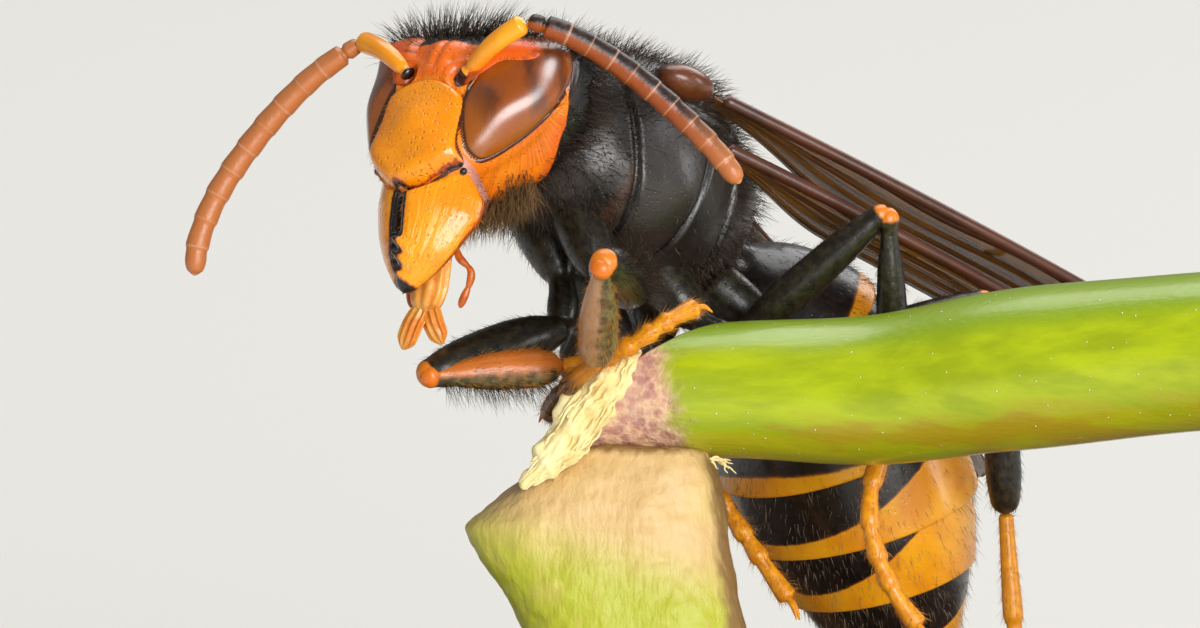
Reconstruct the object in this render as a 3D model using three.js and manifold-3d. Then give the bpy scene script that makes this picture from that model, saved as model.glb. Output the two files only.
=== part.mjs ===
// An Asian yellow-legged hornet, a worker at life size, gripping a cut green stem.
// Millimetres, +Z up. The origin is at the middle of the underside of the display base.
// The specimen is laid out as it is seen: +X to the right, +Y away, +Z up.
// The head and the thorax have frames of their own: +X to the animal's left, +Y rearward, +Z up.
// A direction is [bearing, rise] in degrees: the bearing from +X towards +Y, the rise above the level.

import * as THREE from 'three';
import { mergeVertices } from 'three/addons/utils/BufferGeometryUtils.js';
import Module from 'manifold-3d';

const wasm = await Module();
wasm.setup();

const gap = 0.28;
const shortEdge = 0.004;
const prismStart = 0.35;

const display = {
  lookDown: 8,
  specimenAt: [-4, -6.5, 15.6],
  baseWide: 34,
  baseDeep: 28,
  baseHigh: 3,
  baseCorner: 4,
  baseBevel: 0.5,
  rodRadius: 0.8,
  leftRodAt: [-3.1, -7.7],
  rightRodAt: [9.5, -9.6],
  rodReach: 5,
};

const headSize = {
  at: [-2.85, 0, 4.2],
  yaw: 42,
  pitch: 17.5,
  halfWide: 2.5,
  halfWideLow: 1.85,
  sideShift: [0.4, 0.34],
  frontRoundness: 0.8,
  rearRoundness: 0.5,
  topRoundness: 0.3,
  fine: [32, 18],
  coarse: [16, 9],
};

// The middle line of the head seen from its left side, as [rearward, upward].
const headOutline = [
  [0.25, 1.66], [-0.4, 1.56], [-0.88, 1.22], [-1.1, 0.6], [-1.25, 0.05], [-1.45, -0.75],
  [-1.55, -1.45], [-1.4, -2.05], [-0.6, -2.12], [0.3, -1.95], [1.1, -1.2], [1.4, -0.2],
  [1.4, 0.8], [1.0, 1.42],
];

const eye = {
  facing: [0.78, -0.62],
  raised: 0.14,
  deep: 0.3,
  socketDeep: 0.55,
  edge: 0.14,
  outlineSteps: 32,
  // Seen along its facing direction, as [rearward, upward]; the notch is the fourth to the sixth point.
  outline: [
    [0.31, -1.38], [-0.12, -1.0], [-0.26, -0.38], [-0.13, 0.2], [0.29, 0.76], [0.98, 0.92], [0.98, 1.3],
    [0.46, 1.42], [0.62, 1.85], [1.25, 2.05], [1.75, 1.4], [1.87, 0.7], [1.5, -0.3], [0.9, -1.05],
  ],
};

const clypeus = {
  raised: 0.1,
  deep: 0.28,
  edge: 0.13,
  // The right half seen from the front, as [sideways, upward], from the top to the notch.
  outline: [[0.36, 0.3], [0.72, -0.1], [0.86, -0.5], [0.98, -1.0], [1.22, -1.5], [0.55, -2.2], [0, -2.02]],
};

const mandible = {
  root: [0.84, -0.7, -1.35],
  bend: [0.8, -0.98, -3.1],
  tip: [0.3, -0.98, -4.25],
  across: [0.73, 0.68, 0],
  // Rows of [part of the length, inner half width, outer half width, half thickness].
  rows: [
    [0, 0.7, 0.8, 0.34], [0.14, 0.8, 0.82, 0.34], [0.3, 0.86, 0.84, 0.36], [0.48, 0.74, 0.68, 0.32],
    [0.65, 0.6, 0.52, 0.28], [0.72, 0.7, 0.46, 0.26], [0.775, 0.46, 0.4, 0.26], [0.835, 0.58, 0.34, 0.25],
    [0.89, 0.32, 0.28, 0.24], [0.95, 0.3, 0.22, 0.22], [1, 0.14, 0.12, 0.14],
  ],
  // The right one lies behind the left one's teeth.
  rightTilt: 12,
  rightShift: [0.04, 0.1, 0.25],
};

const labium = {
  path: [[0, -0.1, -2.3], [0.02, 0.05, -3.4], [0.02, 0.1, -4.4]],
  rows: [[0, 0.35, 0.3], [0.4, 0.42, 0.3], [0.75, 0.5, 0.28], [1, 0.3, 0.2]],
  lobeTips: [[-0.42, 0.12, -5.15], [0.42, 0.4, -4.95]],
  lobeRows: [[0, 0.28, 0.24], [0.5, 0.3, 0.24], [1, 0.18, 0.14]],
};

const palp = {
  path: [[0.45, 0.05, -2.5], [0.62, 0.1, -3.1], [0.88, 0.3, -3.4], [0.68, 0.4, -4.15]],
  radius: 0.2,
};

const antenna = {
  socket: [0.74, -1.0, 0.47],
  scapeRadius: 0.21,
  pedicelRadius: 0.2,
  flagellumRadius: 0.27,
  joints: 10,
  // Points in the specimen's own frame: the scape's end, then the run of the flagellum.
  left: {
    scapeEnd: [-1.56, -1.85, 6.08],
    run: [[-1.44, -1.85, 6.15], [-0.62, -1.8, 5.8], [0.4, -1.7, 5.2], [1.55, -1.65, 4.25], [2.4, -1.7, 3.4],
      [2.92, -1.8, 2.72]],
  },
  right: {
    scapeEnd: [-4.98, 1.2, 5.72],
    run: [[-5.22, 1.25, 5.5], [-6.03, 1.4, 4.95], [-7.12, 1.55, 3.8], [-8.02, 1.6, 2.5], [-8.42, 1.55, 1.5],
      [-8.5, 1.5, 0.8]],
  },
};

const thorax = {
  at: [0.4, 3.0, 3.0],
  yaw: 48,
  pitch: 18,
  squareness: 2.3,
  sides: 24,
  // Rows of [rearward, half width, height above, depth below].
  rows: [
    [-3.25, 0.75, 0.75, 0.7], [-3.1, 1.1, 1.05, 0.95], [-2.6, 1.65, 1.6, 1.45], [-1.9, 2.05, 2.05, 1.85],
    [-1.0, 2.25, 2.35, 2.15], [0, 2.32, 2.42, 2.28], [0.9, 2.25, 2.3, 2.3], [1.6, 2.05, 1.85, 2.15],
    [2.2, 1.8, 1.2, 1.9], [2.75, 1.4, 0.5, 1.6], [3.1, 0.95, 0, 1.3],
  ],
  prothoraxEdge: [-1.5, -0.3],
  propodeumEdge: [1.45, -0.12],
};

const tegula = { at: [1.98, -0.5, 1.78], radii: [0.5, 0.72, 0.36] };

const gaster = {
  petiole: [2.68, 4.98, 1.3],
  bearing: 41,
  startDrop: 40,
  addedDrop: 34,
  turnLength: 5,
  length: 11.3,
  sides: 20,
  // Rows of [distance, half width, half depth].
  rows: [
    [0, 0.34, 0.34], [0.3, 0.5, 0.5], [0.7, 1.05, 1.0], [1.3, 1.65, 1.5], [2.2, 2.2, 1.95],
    [3.5, 2.62, 2.25], [5, 2.82, 2.4], [6.6, 2.72, 2.28], [8, 2.25, 1.88], [9.4, 1.5, 1.3],
    [10.5, 0.8, 0.72], [11.1, 0.35, 0.32], [11.3, 0.16, 0.16],
  ],
  segmentEnds: [2.3, 5.1, 6.8, 8.3, 9.7],
  stepOut: 0.05,
};

const wing = {
  hinge: [2.2, 0.2, 1.72],
  spread: 16.4,
  droop: 9.2,
  roll: 9,
  thick: 0.5,
  fore: { length: 17.5, wide: 2.35, bow: 0.45, steps: 16, lift: 0, setBack: 0 },
  hind: { length: 12, wide: 1.7, bow: 0.3, steps: 10, lift: -0.96, setBack: 0.5 },
  // Columns from the front edge to the fold, as parts of the width, each with its height above the membrane.
  columns: [[0, 0], [0.1, 0.14], [0.22, 0], [0.38, 0.12], [0.5, 0], [0.68, 0.1], [0.8, 0], [1, 0]],
};

const legSizes = {
  fore: {
    root: [0.7, -1.7, -1.2],
    coxa: 2, trochanter: 1.15, femur: 3.9, tibia: 3.1, tarsus: 3.7,
    coxaRadius: 0.56, femurRadius: 0.45, tibiaRadius: 0.37,
  },
  mid: {
    root: [0.9, 0.8, -1.85],
    coxa: 1.5, trochanter: 0.9, femur: 4.4, tibia: 4.2, tarsus: 5.3,
    coxaRadius: 0.52, femurRadius: 0.4, tibiaRadius: 0.33,
  },
  hind: {
    root: [0.8, 2.4, -1.6],
    coxa: 1.65, trochanter: 1.0, femur: 4.3, tibia: 4.9, tarsus: 6,
    coxaRadius: 0.55, femurRadius: 0.42, tibiaRadius: 0.38,
  },
};

const legPoses = {
  fore_left: { coxa: [-51, -54], trochanter: [-58, -17], femur: [-100, 10], tibia: [93, -43],
    tarsus: [[121, -21], [115, -22], [98, -14], [92, -7]] },
  fore_right: { coxa: [-48, -57], trochanter: [-87, -61], femur: [-142, -15], tibia: [17, 4],
    tarsus: [[-9, 9], [-61, 9], [-7, 35], [53, 11]] },
  mid_left: { coxa: [-20, -49], trochanter: [-12, -31], femur: [-18, 40], tibia: [82, -73],
    tarsus: [[-121, -64], [-124, -61], [3, -71], [-1, -48]] },
  mid_right: { coxa: [133, -73], trochanter: [-176, -72], femur: [80, 32], tibia: [-75, -43],
    tarsus: [[2, -47], [-4, -51], [-13, -56], [-8, -54]] },
  hind_left: { coxa: [-9, -40], trochanter: [-25, -41], femur: [-5, 18], tibia: [81, -68],
    tarsus: [[56, -84], [50, -81], [48, -80]] },
  hind_right: { coxa: [85, -48], trochanter: [63, -53], femur: [111, 22], tibia: [2, -75],
    tarsus: [[-34, -81], [-39, -77], [-41, -74]] },
};

const tarsusSize = { parts: [0.38, 0.17, 0.14, 0.11, 0.2], thin: 0.19, thick: 0.26 };
const claw = { length: 0.5, radius: 0.12, splay: 0.5, rootBack: 0.16, hook: 0.1, tip: 0.04 };

const stem = {
  sides: 20,
  path: [[-2.4, 0.4, -1.85], [0.3, 0.25, -1.65], [3, 0.1, -1.6], [5.8, -0.4, -1.6], [8.3, -1.2, -1.22],
    [10.4, -1.9, -0.98], [12.4, -2.6, -0.78], [14.4, -3.3, -0.65]],
  rows: [[0, 1.2], [0.16, 1.3], [0.28, 1.42], [0.4, 1.52], [0.55, 1.6], [0.7, 1.7], [0.85, 1.66], [1, 1.62]],
  // The torn end: a slanting cut from one point to another, turned away at the back, with a fibrous rim.
  tornFrom: [0.95, -0.85, -0.78],
  tornTo: [-1.55, -1.0, -3.5],
  tornTurn: 42,
  tornBlock: [12, 8],
  rings: 14,
  rim: [[0, 0.2], [0.2, 0.3], [0.6, 0.4], [0.85, 0.26], [1, 0.12]],
};

const stub = {
  sides: 16,
  squareness: 3,
  // Rows of [distance down, left edge, right edge, half depth].
  rows: [
    [2.75, -0.2, 2.1, 0.9], [3.1, -0.95, 2.4, 1.15], [3.5, -1.65, 2.5, 1.3], [4.1, -2.5, 2.6, 1.45],
    [4.45, -2.82, 2.65, 1.5], [4.9, -2.6, 2.72, 1.5], [5.6, -2.15, 2.85, 1.55], [6.6, -1.6, 3.05, 1.6],
    [7.9, -1.1, 3.2, 1.5],
  ],
  depthMiddle: 0.2,
};

const paints = {
  orange: [0xe8831a, 0.35, 0],
  eye: [0x7a3a0c, 0.15, 0],
  black: [0x1c1714, 0.4, 0],
  antenna: [0xb0561c, 0.45, 0],
  band: [0xd98a1e, 0.4, 0],
  leg: [0x2a221c, 0.45, 0],
  foot: [0xe29a22, 0.45, 0],
  wing: [0x5a3c22, 0.3, 0],
  stem: [0x9cb822, 0.5, 0],
  base: [0x3a2a20, 0.5, 0],
  rod: [0x9a9a98, 0.3, 0.9],
};

const material = (name) => {
  const [color, roughness, metalness] = paints[name];
  return new THREE.MeshStandardMaterial({ color, roughness, metalness });
};

const degrees = THREE.MathUtils.degToRad;
const vector = (point) => new THREE.Vector3(...point);
const signedPower = (value, power) => Math.sign(value) * Math.abs(value) ** power;
const towards = ([bearing, rise]) => new THREE.Vector3(
  Math.cos(degrees(bearing)) * Math.cos(degrees(rise)),
  Math.sin(degrees(bearing)) * Math.cos(degrees(rise)),
  Math.sin(degrees(rise)),
);

// Merge shared corners, drop collapsed triangles and turn the faces outwards.
function welded(geometry, tolerance = 1e-5) {
  geometry.deleteAttribute('normal');
  geometry.deleteAttribute('uv');
  const merged = mergeVertices(geometry, tolerance);
  const corner = merged.index.array;
  const kept = [];
  for (let i = 0; i < corner.length; i += 3) {
    const [a, b, c] = [corner[i], corner[i + 1], corner[i + 2]];
    if (a !== b && b !== c && c !== a) kept.push(a, b, c);
  }
  merged.setIndex(kept);
  return signedVolume(merged) < 0 ? flipped(merged) : merged;
}

function signedVolume(geometry) {
  const place = geometry.attributes.position;
  const corner = geometry.index.array;
  const [a, b, c] = [new THREE.Vector3(), new THREE.Vector3(), new THREE.Vector3()];
  let volume = 0;
  for (let i = 0; i < corner.length; i += 3) {
    a.fromBufferAttribute(place, corner[i]);
    b.fromBufferAttribute(place, corner[i + 1]);
    c.fromBufferAttribute(place, corner[i + 2]);
    volume += a.dot(b.cross(c)) / 6;
  }
  return volume;
}

function flipped(geometry) {
  const corner = geometry.index.array;
  for (let i = 0; i < corner.length; i += 3) [corner[i], corner[i + 1]] = [corner[i + 1], corner[i]];
  return geometry;
}

function reshaped(geometry, move) {
  const place = geometry.attributes.position;
  const point = new THREE.Vector3();
  for (let i = 0; i < place.count; i += 1) {
    point.fromBufferAttribute(place, i);
    move(point, i);
    place.setXYZ(i, point.x, point.y, point.z);
  }
  return geometry;
}

const moved = (geometry, matrix) => geometry.clone().applyMatrix4(matrix);

function mirrored(geometry) {
  return flipped(geometry.clone().scale(-1, 1, 1));
}

function grown(geometry, by) {
  const copy = geometry.clone();
  copy.computeVertexNormals();
  const normal = copy.attributes.normal.clone();
  copy.deleteAttribute('normal');
  const push = new THREE.Vector3();
  return reshaped(copy, (point, i) => point.addScaledVector(push.fromBufferAttribute(normal, i), by));
}

function solidOf(geometry) {
  return new wasm.Manifold(new wasm.Mesh({
    numProp: 3,
    vertProperties: new Float32Array(geometry.attributes.position.array),
    triVerts: new Uint32Array(geometry.index.array),
  }));
}

// The largest closed surface of a solid, as a geometry.
function largest(solid) {
  const pieces = solid.decompose().sort((a, b) => b.volume() - a.volume());
  const mesh = pieces[0].getMesh();
  const geometry = new THREE.BufferGeometry();
  geometry.setAttribute('position', new THREE.BufferAttribute(new Float32Array(mesh.vertProperties), 3));
  geometry.setIndex(Array.from(mesh.triVerts));
  return geometry;
}

// As above, with the shortest edges that a cut leaves closed up.
function geometryOf(solid) {
  const shift = shortEdge / 2;
  const once = welded(largest(solid), shortEdge).translate(shift, shift, shift);
  const twice = welded(once, shortEdge).translate(-shift, -shift, -shift);
  return largest(solidOf(twice));
}

const cut = (piece, ...tools) => geometryOf(
  tools.reduce((solid, tool) => solid.subtract(solidOf(tool)), solidOf(piece)),
);

const joined = (piece, ...others) => geometryOf(
  others.reduce((solid, other) => solid.add(solidOf(other)), solidOf(piece)),
);

const common = (piece, other) => geometryOf(solidOf(piece).intersect(solidOf(other)));

// A closed form carried along a path. A row is [distance, radius], [distance, half width, half height]
// or [distance, right, left, up, down]; distances run from 0 to 1 or over the path's length.
function carried(path, rows, { sides = 8, across = new THREE.Vector3(0, 0, 1), squareness = 2 } = {}) {
  const last = rows[rows.length - 1][0];
  const rings = rows.map((row) => {
    const [at, first, second = first, up = second, down = up] = row;
    return row.length > 3 ? { at: at / last, right: first, left: second, up, down }
      : { at: at / last, right: first, left: first, up: second, down: second };
  });
  const outline = [new THREE.Vector2(0, 0)];
  rings.forEach((ring, i) => outline.push(new THREE.Vector2(1, i)));
  outline.push(new THREE.Vector2(0, rings.length - 1));
  const geometry = new THREE.LatheGeometry(outline, sides);
  const places = rings.map(({ at }) => {
    const centre = path.getPointAt(at);
    const forward = path.getTangentAt(at);
    const side = across.clone().addScaledVector(forward, -across.dot(forward)).normalize();
    return { centre, side, up: side.clone().cross(forward) };
  });
  reshaped(geometry, (point) => {
    const ring = rings[Math.round(point.y)];
    const { centre, side, up } = places[Math.round(point.y)];
    const x = signedPower(point.x, 2 / squareness);
    const z = signedPower(point.z, 2 / squareness);
    point.copy(centre)
      .addScaledVector(side, x * (x > 0 ? ring.left : ring.right))
      .addScaledVector(up, z * (z > 0 ? ring.up : ring.down));
  });
  return welded(geometry);
}

const line = (from, to) => new THREE.LineCurve3(from, to);
const curve = (points) => new THREE.CatmullRomCurve3(points.map((p) => (p.isVector3 ? p : vector(p))));

// A straight limb with chamfered ends, thickest where its rows say.
function limb(path, radii, options) {
  const last = radii.length - 1;
  const rows = radii.map((radius, i) => [i / last, radius]);
  const [start, end] = [radii[0], radii[last]];
  const chamfer = 0.3 * Math.min(start, end) / path.getLength();
  rows[0][0] = chamfer;
  rows[last][0] = 1 - chamfer;
  return carried(path, [[0, start * 0.7], ...rows, [1, end * 0.7]], options);
}

// A flat prism of an outline, standing on the plane of two axes.
function prism(points, xAxis, yAxis, from, depth) {
  const shape = new THREE.Shape(points);
  const geometry = new THREE.ExtrudeGeometry(shape, { depth, bevelEnabled: false });
  const zAxis = xAxis.clone().cross(yAxis);
  const place = new THREE.Matrix4().makeBasis(xAxis, yAxis, zAxis);
  geometry.translate(0, 0, from).applyMatrix4(place);
  return welded(geometry);
}

function smoothOutline(points, count) {
  const path = new THREE.CatmullRomCurve3(points.map(([x, y]) => new THREE.Vector3(x, y, 0)), true);
  return path.getSpacedPoints(count).slice(0, -1).map(({ x, y }) => new THREE.Vector2(x, y));
}

// Move a closed outline outwards by a distance, or inwards by a negative one.
function widened(points, by) {
  const turn = Math.sign(THREE.ShapeUtils.area(points));
  return points.map((point, i) => {
    const before = points[(i + points.length - 1) % points.length];
    const after = points[(i + 1) % points.length];
    const along = after.clone().sub(before).normalize();
    return new THREE.Vector2(point.x + turn * along.y * by, point.y - turn * along.x * by);
  });
}

function standing(group, { at, yaw, pitch }) {
  group.position.set(...at);
  group.rotation.set(-degrees(pitch), 0, -degrees(yaw), 'ZYX');
  group.updateMatrix();
  return group;
}

const node = (name, geometry, paint) => {
  const mesh = new THREE.Mesh(geometry, material(paint));
  mesh.name = name;
  return mesh;
};

// Head

function headForm(grow = 0, fineness = headSize.fine) {
  const middle = curve(headOutline.map(([y, z]) => [0, y, z]));
  middle.closed = true;
  const geometry = new THREE.SphereGeometry(1, ...fineness);
  reshaped(geometry, (point) => {
    const side = Math.asin(THREE.MathUtils.clamp(point.y, -1, 1));
    const around = (Math.atan2(point.z, point.x) / (2 * Math.PI) + 1) % 1;
    const rim = middle.getPoint(around);
    const rear = THREE.MathUtils.smoothstep(rim.y, -0.6, 0.8);
    const top = THREE.MathUtils.smoothstep(rim.z, 0.9, 1.5);
    const level = THREE.MathUtils.lerp(headSize.frontRoundness, headSize.rearRoundness, rear);
    const roundness = THREE.MathUtils.lerp(level, headSize.topRoundness, top);
    const inner = Math.sqrt(Math.max(0, 1 - point.y ** 2));
    const low = THREE.MathUtils.smoothstep(-rim.z, 0, 2) * Math.sqrt(inner);
    const wide = THREE.MathUtils.lerp(headSize.halfWide, headSize.halfWideLow, low);
    const shrink = inner ** roundness;
    const shift = Math.sin(side) ** 2;
    point.set(
      wide * Math.sin(side),
      rim.y * shrink + headSize.sideShift[0] * shift,
      rim.z * shrink + headSize.sideShift[1] * shift,
    );
  });
  const form = welded(geometry);
  return grow ? grown(form, grow) : form;
}

function eyePrism(grow) {
  const [outward, forward] = eye.facing;
  const acrossView = new THREE.Vector3(-forward, outward, 0).normalize();
  const outline = widened(smoothOutline(eye.outline, eye.outlineSteps), grow);
  const flat = prism(outline, acrossView, new THREE.Vector3(0, 0, 1), 0, 1);
  const facing = new THREE.Vector3(outward, forward, 0).normalize();
  const [near, far] = [prismStart - grow, 4];
  return reshaped(flat, (point) => {
    const depth = point.dot(facing);
    point.addScaledVector(facing, Math.abs(depth) > 0.5 ? far - depth : near - depth);
  });
}

function clypeusPrism(grow) {
  const half = clypeus.outline;
  const other = half.slice(0, -1).reverse().map(([x, z]) => [-x, z]);
  const outline = widened([...half, ...other].map(([x, z]) => new THREE.Vector2(x, z)), grow);
  return prism(outline, new THREE.Vector3(1, 0, 0), new THREE.Vector3(0, 0, 1), prismStart - grow, 3);
}

function mandibleForm() {
  const path = curve([mandible.root, mandible.bend, mandible.tip]);
  const rows = mandible.rows.map(([at, inner, outer, thick]) => [at, inner, outer, thick, thick]);
  return carried(path, rows, { sides: 12, across: vector(mandible.across), squareness: 2.4 });
}

function labiumForm() {
  const path = curve(labium.path);
  const across = new THREE.Vector3(1, 0, 0);
  const trunk = carried(path, labium.rows, { sides: 10, across });
  const start = path.getPointAt(0.8);
  const lobes = labium.lobeTips.map((tip) => (
    carried(line(start, vector(tip)), labium.lobeRows, { sides: 8, across })
  ));
  return joined(trunk, ...lobes);
}

// Legs

// A path of a given length whose direction turns evenly from one heading to the next.
function turningPath(start, headings, length, steps = 12) {
  const directions = headings.map(towards);
  const points = [start.clone()];
  for (let i = 0; i < steps; i += 1) {
    const t = ((i + 0.5) / steps) * (directions.length - 1);
    const first = Math.min(Math.floor(t), directions.length - 2);
    const heading = directions[first].clone().lerp(directions[first + 1], t - first).normalize();
    points.push(points[i].clone().addScaledVector(heading, length / steps));
  }
  return new THREE.CatmullRomCurve3(points);
}

function tarsusForm(path) {
  const { parts, thin, thick } = tarsusSize;
  const rows = [[0, thin * 0.8]];
  let start = 0;
  parts.forEach((part) => {
    rows.push([start + 0.02, thin], [start + part - 0.03, thick]);
    start += part;
  });
  rows.push([1, thin * 0.7]);
  const foot = carried(path, rows, { sides: 6 });
  const end = path.getPointAt(1);
  const forward = path.getTangentAt(1);
  const level = new THREE.Vector3(0, 0, 1).cross(forward).normalize();
  const claws = [-1, 1].map((side) => {
    const direction = forward.clone().addScaledVector(level, side * claw.splay).normalize();
    const root = end.clone().addScaledVector(forward, -claw.rootBack);
    const tip = root.clone().addScaledVector(direction, claw.length);
    tip.z -= claw.hook;
    return carried(line(root, tip), [[0, claw.radius], [0.6, claw.radius * 0.8], [1, claw.tip]], { sides: 6 });
  });
  return joined(foot, ...claws);
}

function legForms(pair, side, pose, frame) {
  const size = legSizes[pair];
  const [x, y, z] = size.root;
  const root = new THREE.Vector3(x * side, y, z).applyMatrix4(frame);
  const step = (from, heading, length) => from.clone().addScaledVector(towards(heading), length);
  const coxaEnd = step(root, pose.coxa, size.coxa);
  const hip = step(coxaEnd, pose.trochanter, size.trochanter);
  const knee = step(hip, pose.femur, size.femur);
  const ankle = step(knee, pose.tibia, size.tibia);
  const coxaPath = curve([root, coxaEnd, hip]);
  const r = size.coxaRadius;
  const coxa = carried(coxaPath, [
    [0, r * 0.8], [0.12, r], [0.35, r * 0.95], [0.55, r * 0.7], [0.64, r * 0.48], [0.7, r * 0.5],
    [0.85, r * 0.62], [0.96, r * 0.5], [1, r * 0.36],
  ], { sides: 10 });
  const f = size.femurRadius;
  const femur = limb(line(hip, knee), [f * 0.55, f * 0.85, f, f * 0.95, f * 0.85, f * 0.72, f * 0.7]);
  const t = size.tibiaRadius;
  const tibia = limb(line(knee, ankle), [t * 0.68, t * 0.82, t * 0.9, t, t, t * 0.8]);
  const tarsusPath = turningPath(ankle, pose.tarsus, size.tarsus);
  const tarsus = tarsusForm(tarsusPath);
  return {
    coxa,
    femur: cut(femur, grown(coxa, gap)),
    tibia: cut(tibia, grown(femur, gap)),
    tarsus: cut(tarsus, grown(tibia, gap)),
  };
}

// Gaster

function gasterPath() {
  const heading = towards([gaster.bearing, 0]);
  const points = [];
  const position = vector(gaster.petiole);
  const steps = 24;
  for (let i = 0; i <= steps; i += 1) {
    points.push(position.clone());
    const distance = ((i + 0.5) / steps) * gaster.length;
    const drop = gaster.startDrop + gaster.addedDrop * (1 - Math.exp(-distance / gaster.turnLength));
    const stride = gaster.length / steps;
    position.addScaledVector(heading, Math.cos(degrees(drop)) * stride);
    position.z -= Math.sin(degrees(drop)) * stride;
  }
  return new THREE.CatmullRomCurve3(points);
}

function between(rows, at) {
  const next = Math.max(1, rows.findIndex((row) => row[0] >= at));
  const [before, after] = [rows[next - 1], rows[next]];
  const t = (at - before[0]) / (after[0] - before[0]);
  return before.map((value, i) => THREE.MathUtils.lerp(value, after[i], t));
}

function gasterSegments() {
  const path = gasterPath();
  const across = towards([gaster.bearing - 90, 0]);
  const ends = [0, ...gaster.segmentEnds, gaster.length];
  return ends.slice(0, -1).map((start, i) => {
    const end = ends[i + 1] - (i < ends.length - 2 ? gap : 0);
    const inner = gaster.rows.map((row) => row[0]).filter((at) => at > start + 0.1 && at < end - 0.1);
    const stations = [start, ...inner, end];
    if (stations.length < 4) stations.splice(1, 0, (stations[0] + stations[1]) / 2);
    const rows = stations.map((at) => {
      const [, wide, deep] = between(gaster.rows, at);
      const step = 1 + gaster.stepOut * (at - start) / (end - start);
      return [at, wide * step, deep * step];
    });
    const trimmed = new TrimmedCurve(path, start / gaster.length, end / gaster.length);
    const span = end - start;
    const local = rows.map(([at, wide, deep]) => [(at - start) / span, wide, deep]);
    return carried(trimmed, local, { sides: gaster.sides, across });
  });
}

class TrimmedCurve extends THREE.Curve {
  constructor(path, from, to) {
    super();
    this.path = path;
    this.from = from;
    this.to = to;
  }

  getPoint(t, target = new THREE.Vector3()) {
    return this.path.getPointAt(THREE.MathUtils.lerp(this.from, this.to, t), target);
  }

  getTangent(t, target = new THREE.Vector3()) {
    return this.path.getTangentAt(THREE.MathUtils.lerp(this.from, this.to, t), target);
  }
}

// Wings

function wingForm({ length, wide, bow, steps, lift, setBack }) {
  const [spread, droop, roll] = [wing.spread, wing.droop, wing.roll].map(degrees);
  const along = new THREE.Vector3(Math.sin(spread), Math.cos(spread), 0).multiplyScalar(Math.cos(droop));
  along.z = -Math.sin(droop);
  const level = new THREE.Vector3(-Math.cos(spread), Math.sin(spread), 0);
  const level2 = level.addScaledVector(along, -level.dot(along)).normalize();
  const up = along.clone().cross(level2).normalize();
  const inward = level2.clone().multiplyScalar(Math.cos(roll)).addScaledVector(up, -Math.sin(roll));
  const normal = along.clone().cross(inward).normalize();
  const start = vector(wing.hinge).addScaledVector(normal, lift).addScaledVector(along, setBack);
  const columns = wing.columns.length - 1;
  const geometry = new THREE.BoxGeometry(1, 1, 1, steps, columns, 1);
  reshaped(geometry, (point) => {
    const u = point.x + 0.5;
    const [v, raise] = wing.columns[Math.round((point.y + 0.5) * columns)];
    const top = point.z > 0;
    const opening = 0.22 + 0.78 * THREE.MathUtils.smoothstep(u, 0, 0.3);
    const rounding = u > 0.8 ? Math.sqrt(Math.max(0.04, 1 - ((u - 0.8) / 0.2) ** 2)) : 1;
    const reach = wide * opening * rounding;
    const front = -bow * Math.sin(Math.PI * u) + wide * 0.45 * (1 - rounding);
    const height = (top ? 1 : -1) * wing.thick / 2 + (top ? raise * Math.min(1, u * 6) * rounding : 0);
    point.copy(start)
      .addScaledVector(along, u * length)
      .addScaledVector(inward, front + v * reach)
      .addScaledVector(normal, height);
  });
  return welded(geometry);
}

// Perch and stand

function stemForm(grow = 0) {
  const path = curve(stem.path);
  const rows = [];
  for (let i = 0; i <= stem.rings; i += 1) {
    const [at, radius] = between(stem.rows, i / stem.rings);
    rows.push([at, radius + grow]);
  }
  const tube = carried(path, rows, { sides: stem.sides });
  const from = vector(stem.tornFrom);
  const to = vector(stem.tornTo);
  const along = to.clone().sub(from).normalize();
  const away = new THREE.Vector3(0, 1, 0).applyAxisAngle(along, degrees(stem.tornTurn));
  const outwards = along.clone().cross(away).normalize();
  if (outwards.x > 0) outwards.negate();
  const [long, thick] = stem.tornBlock;
  const block = new THREE.BoxGeometry(long, long, thick);
  const side = outwards.clone().cross(along).normalize();
  const place = new THREE.Matrix4().makeBasis(along, side, along.clone().cross(side));
  const middle = from.clone().add(to).multiplyScalar(0.5);
  block.applyMatrix4(place.setPosition(middle.addScaledVector(outwards, thick / 2 + grow)));
  const torn = cut(tube, welded(block));
  const rimRows = stem.rim.map(([at, radius]) => [at, radius + grow]);
  const rimLine = line(from.addScaledVector(along, -grow), to.addScaledVector(along, grow));
  return joined(torn, carried(rimLine, rimRows, { sides: 8 }));
}

function stubForm() {
  const { rows } = stub;
  const [top, low] = [rows[0][0], rows[rows.length - 1][0]];
  const path = line(new THREE.Vector3(0, stub.depthMiddle, -top), new THREE.Vector3(0, stub.depthMiddle, -low));
  const levels = rows.map(([down, left, right, deep]) => [(down - top) / (low - top), (right - left) / 2, deep]);
  const across = new THREE.Vector3(1, 0, 0);
  const form = carried(path, levels, { sides: stub.sides, across, squareness: stub.squareness });
  return reshaped(form, (point) => {
    const [, left, right] = between(rows, -point.z);
    point.x += (left + right) / 2;
  });
}

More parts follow.
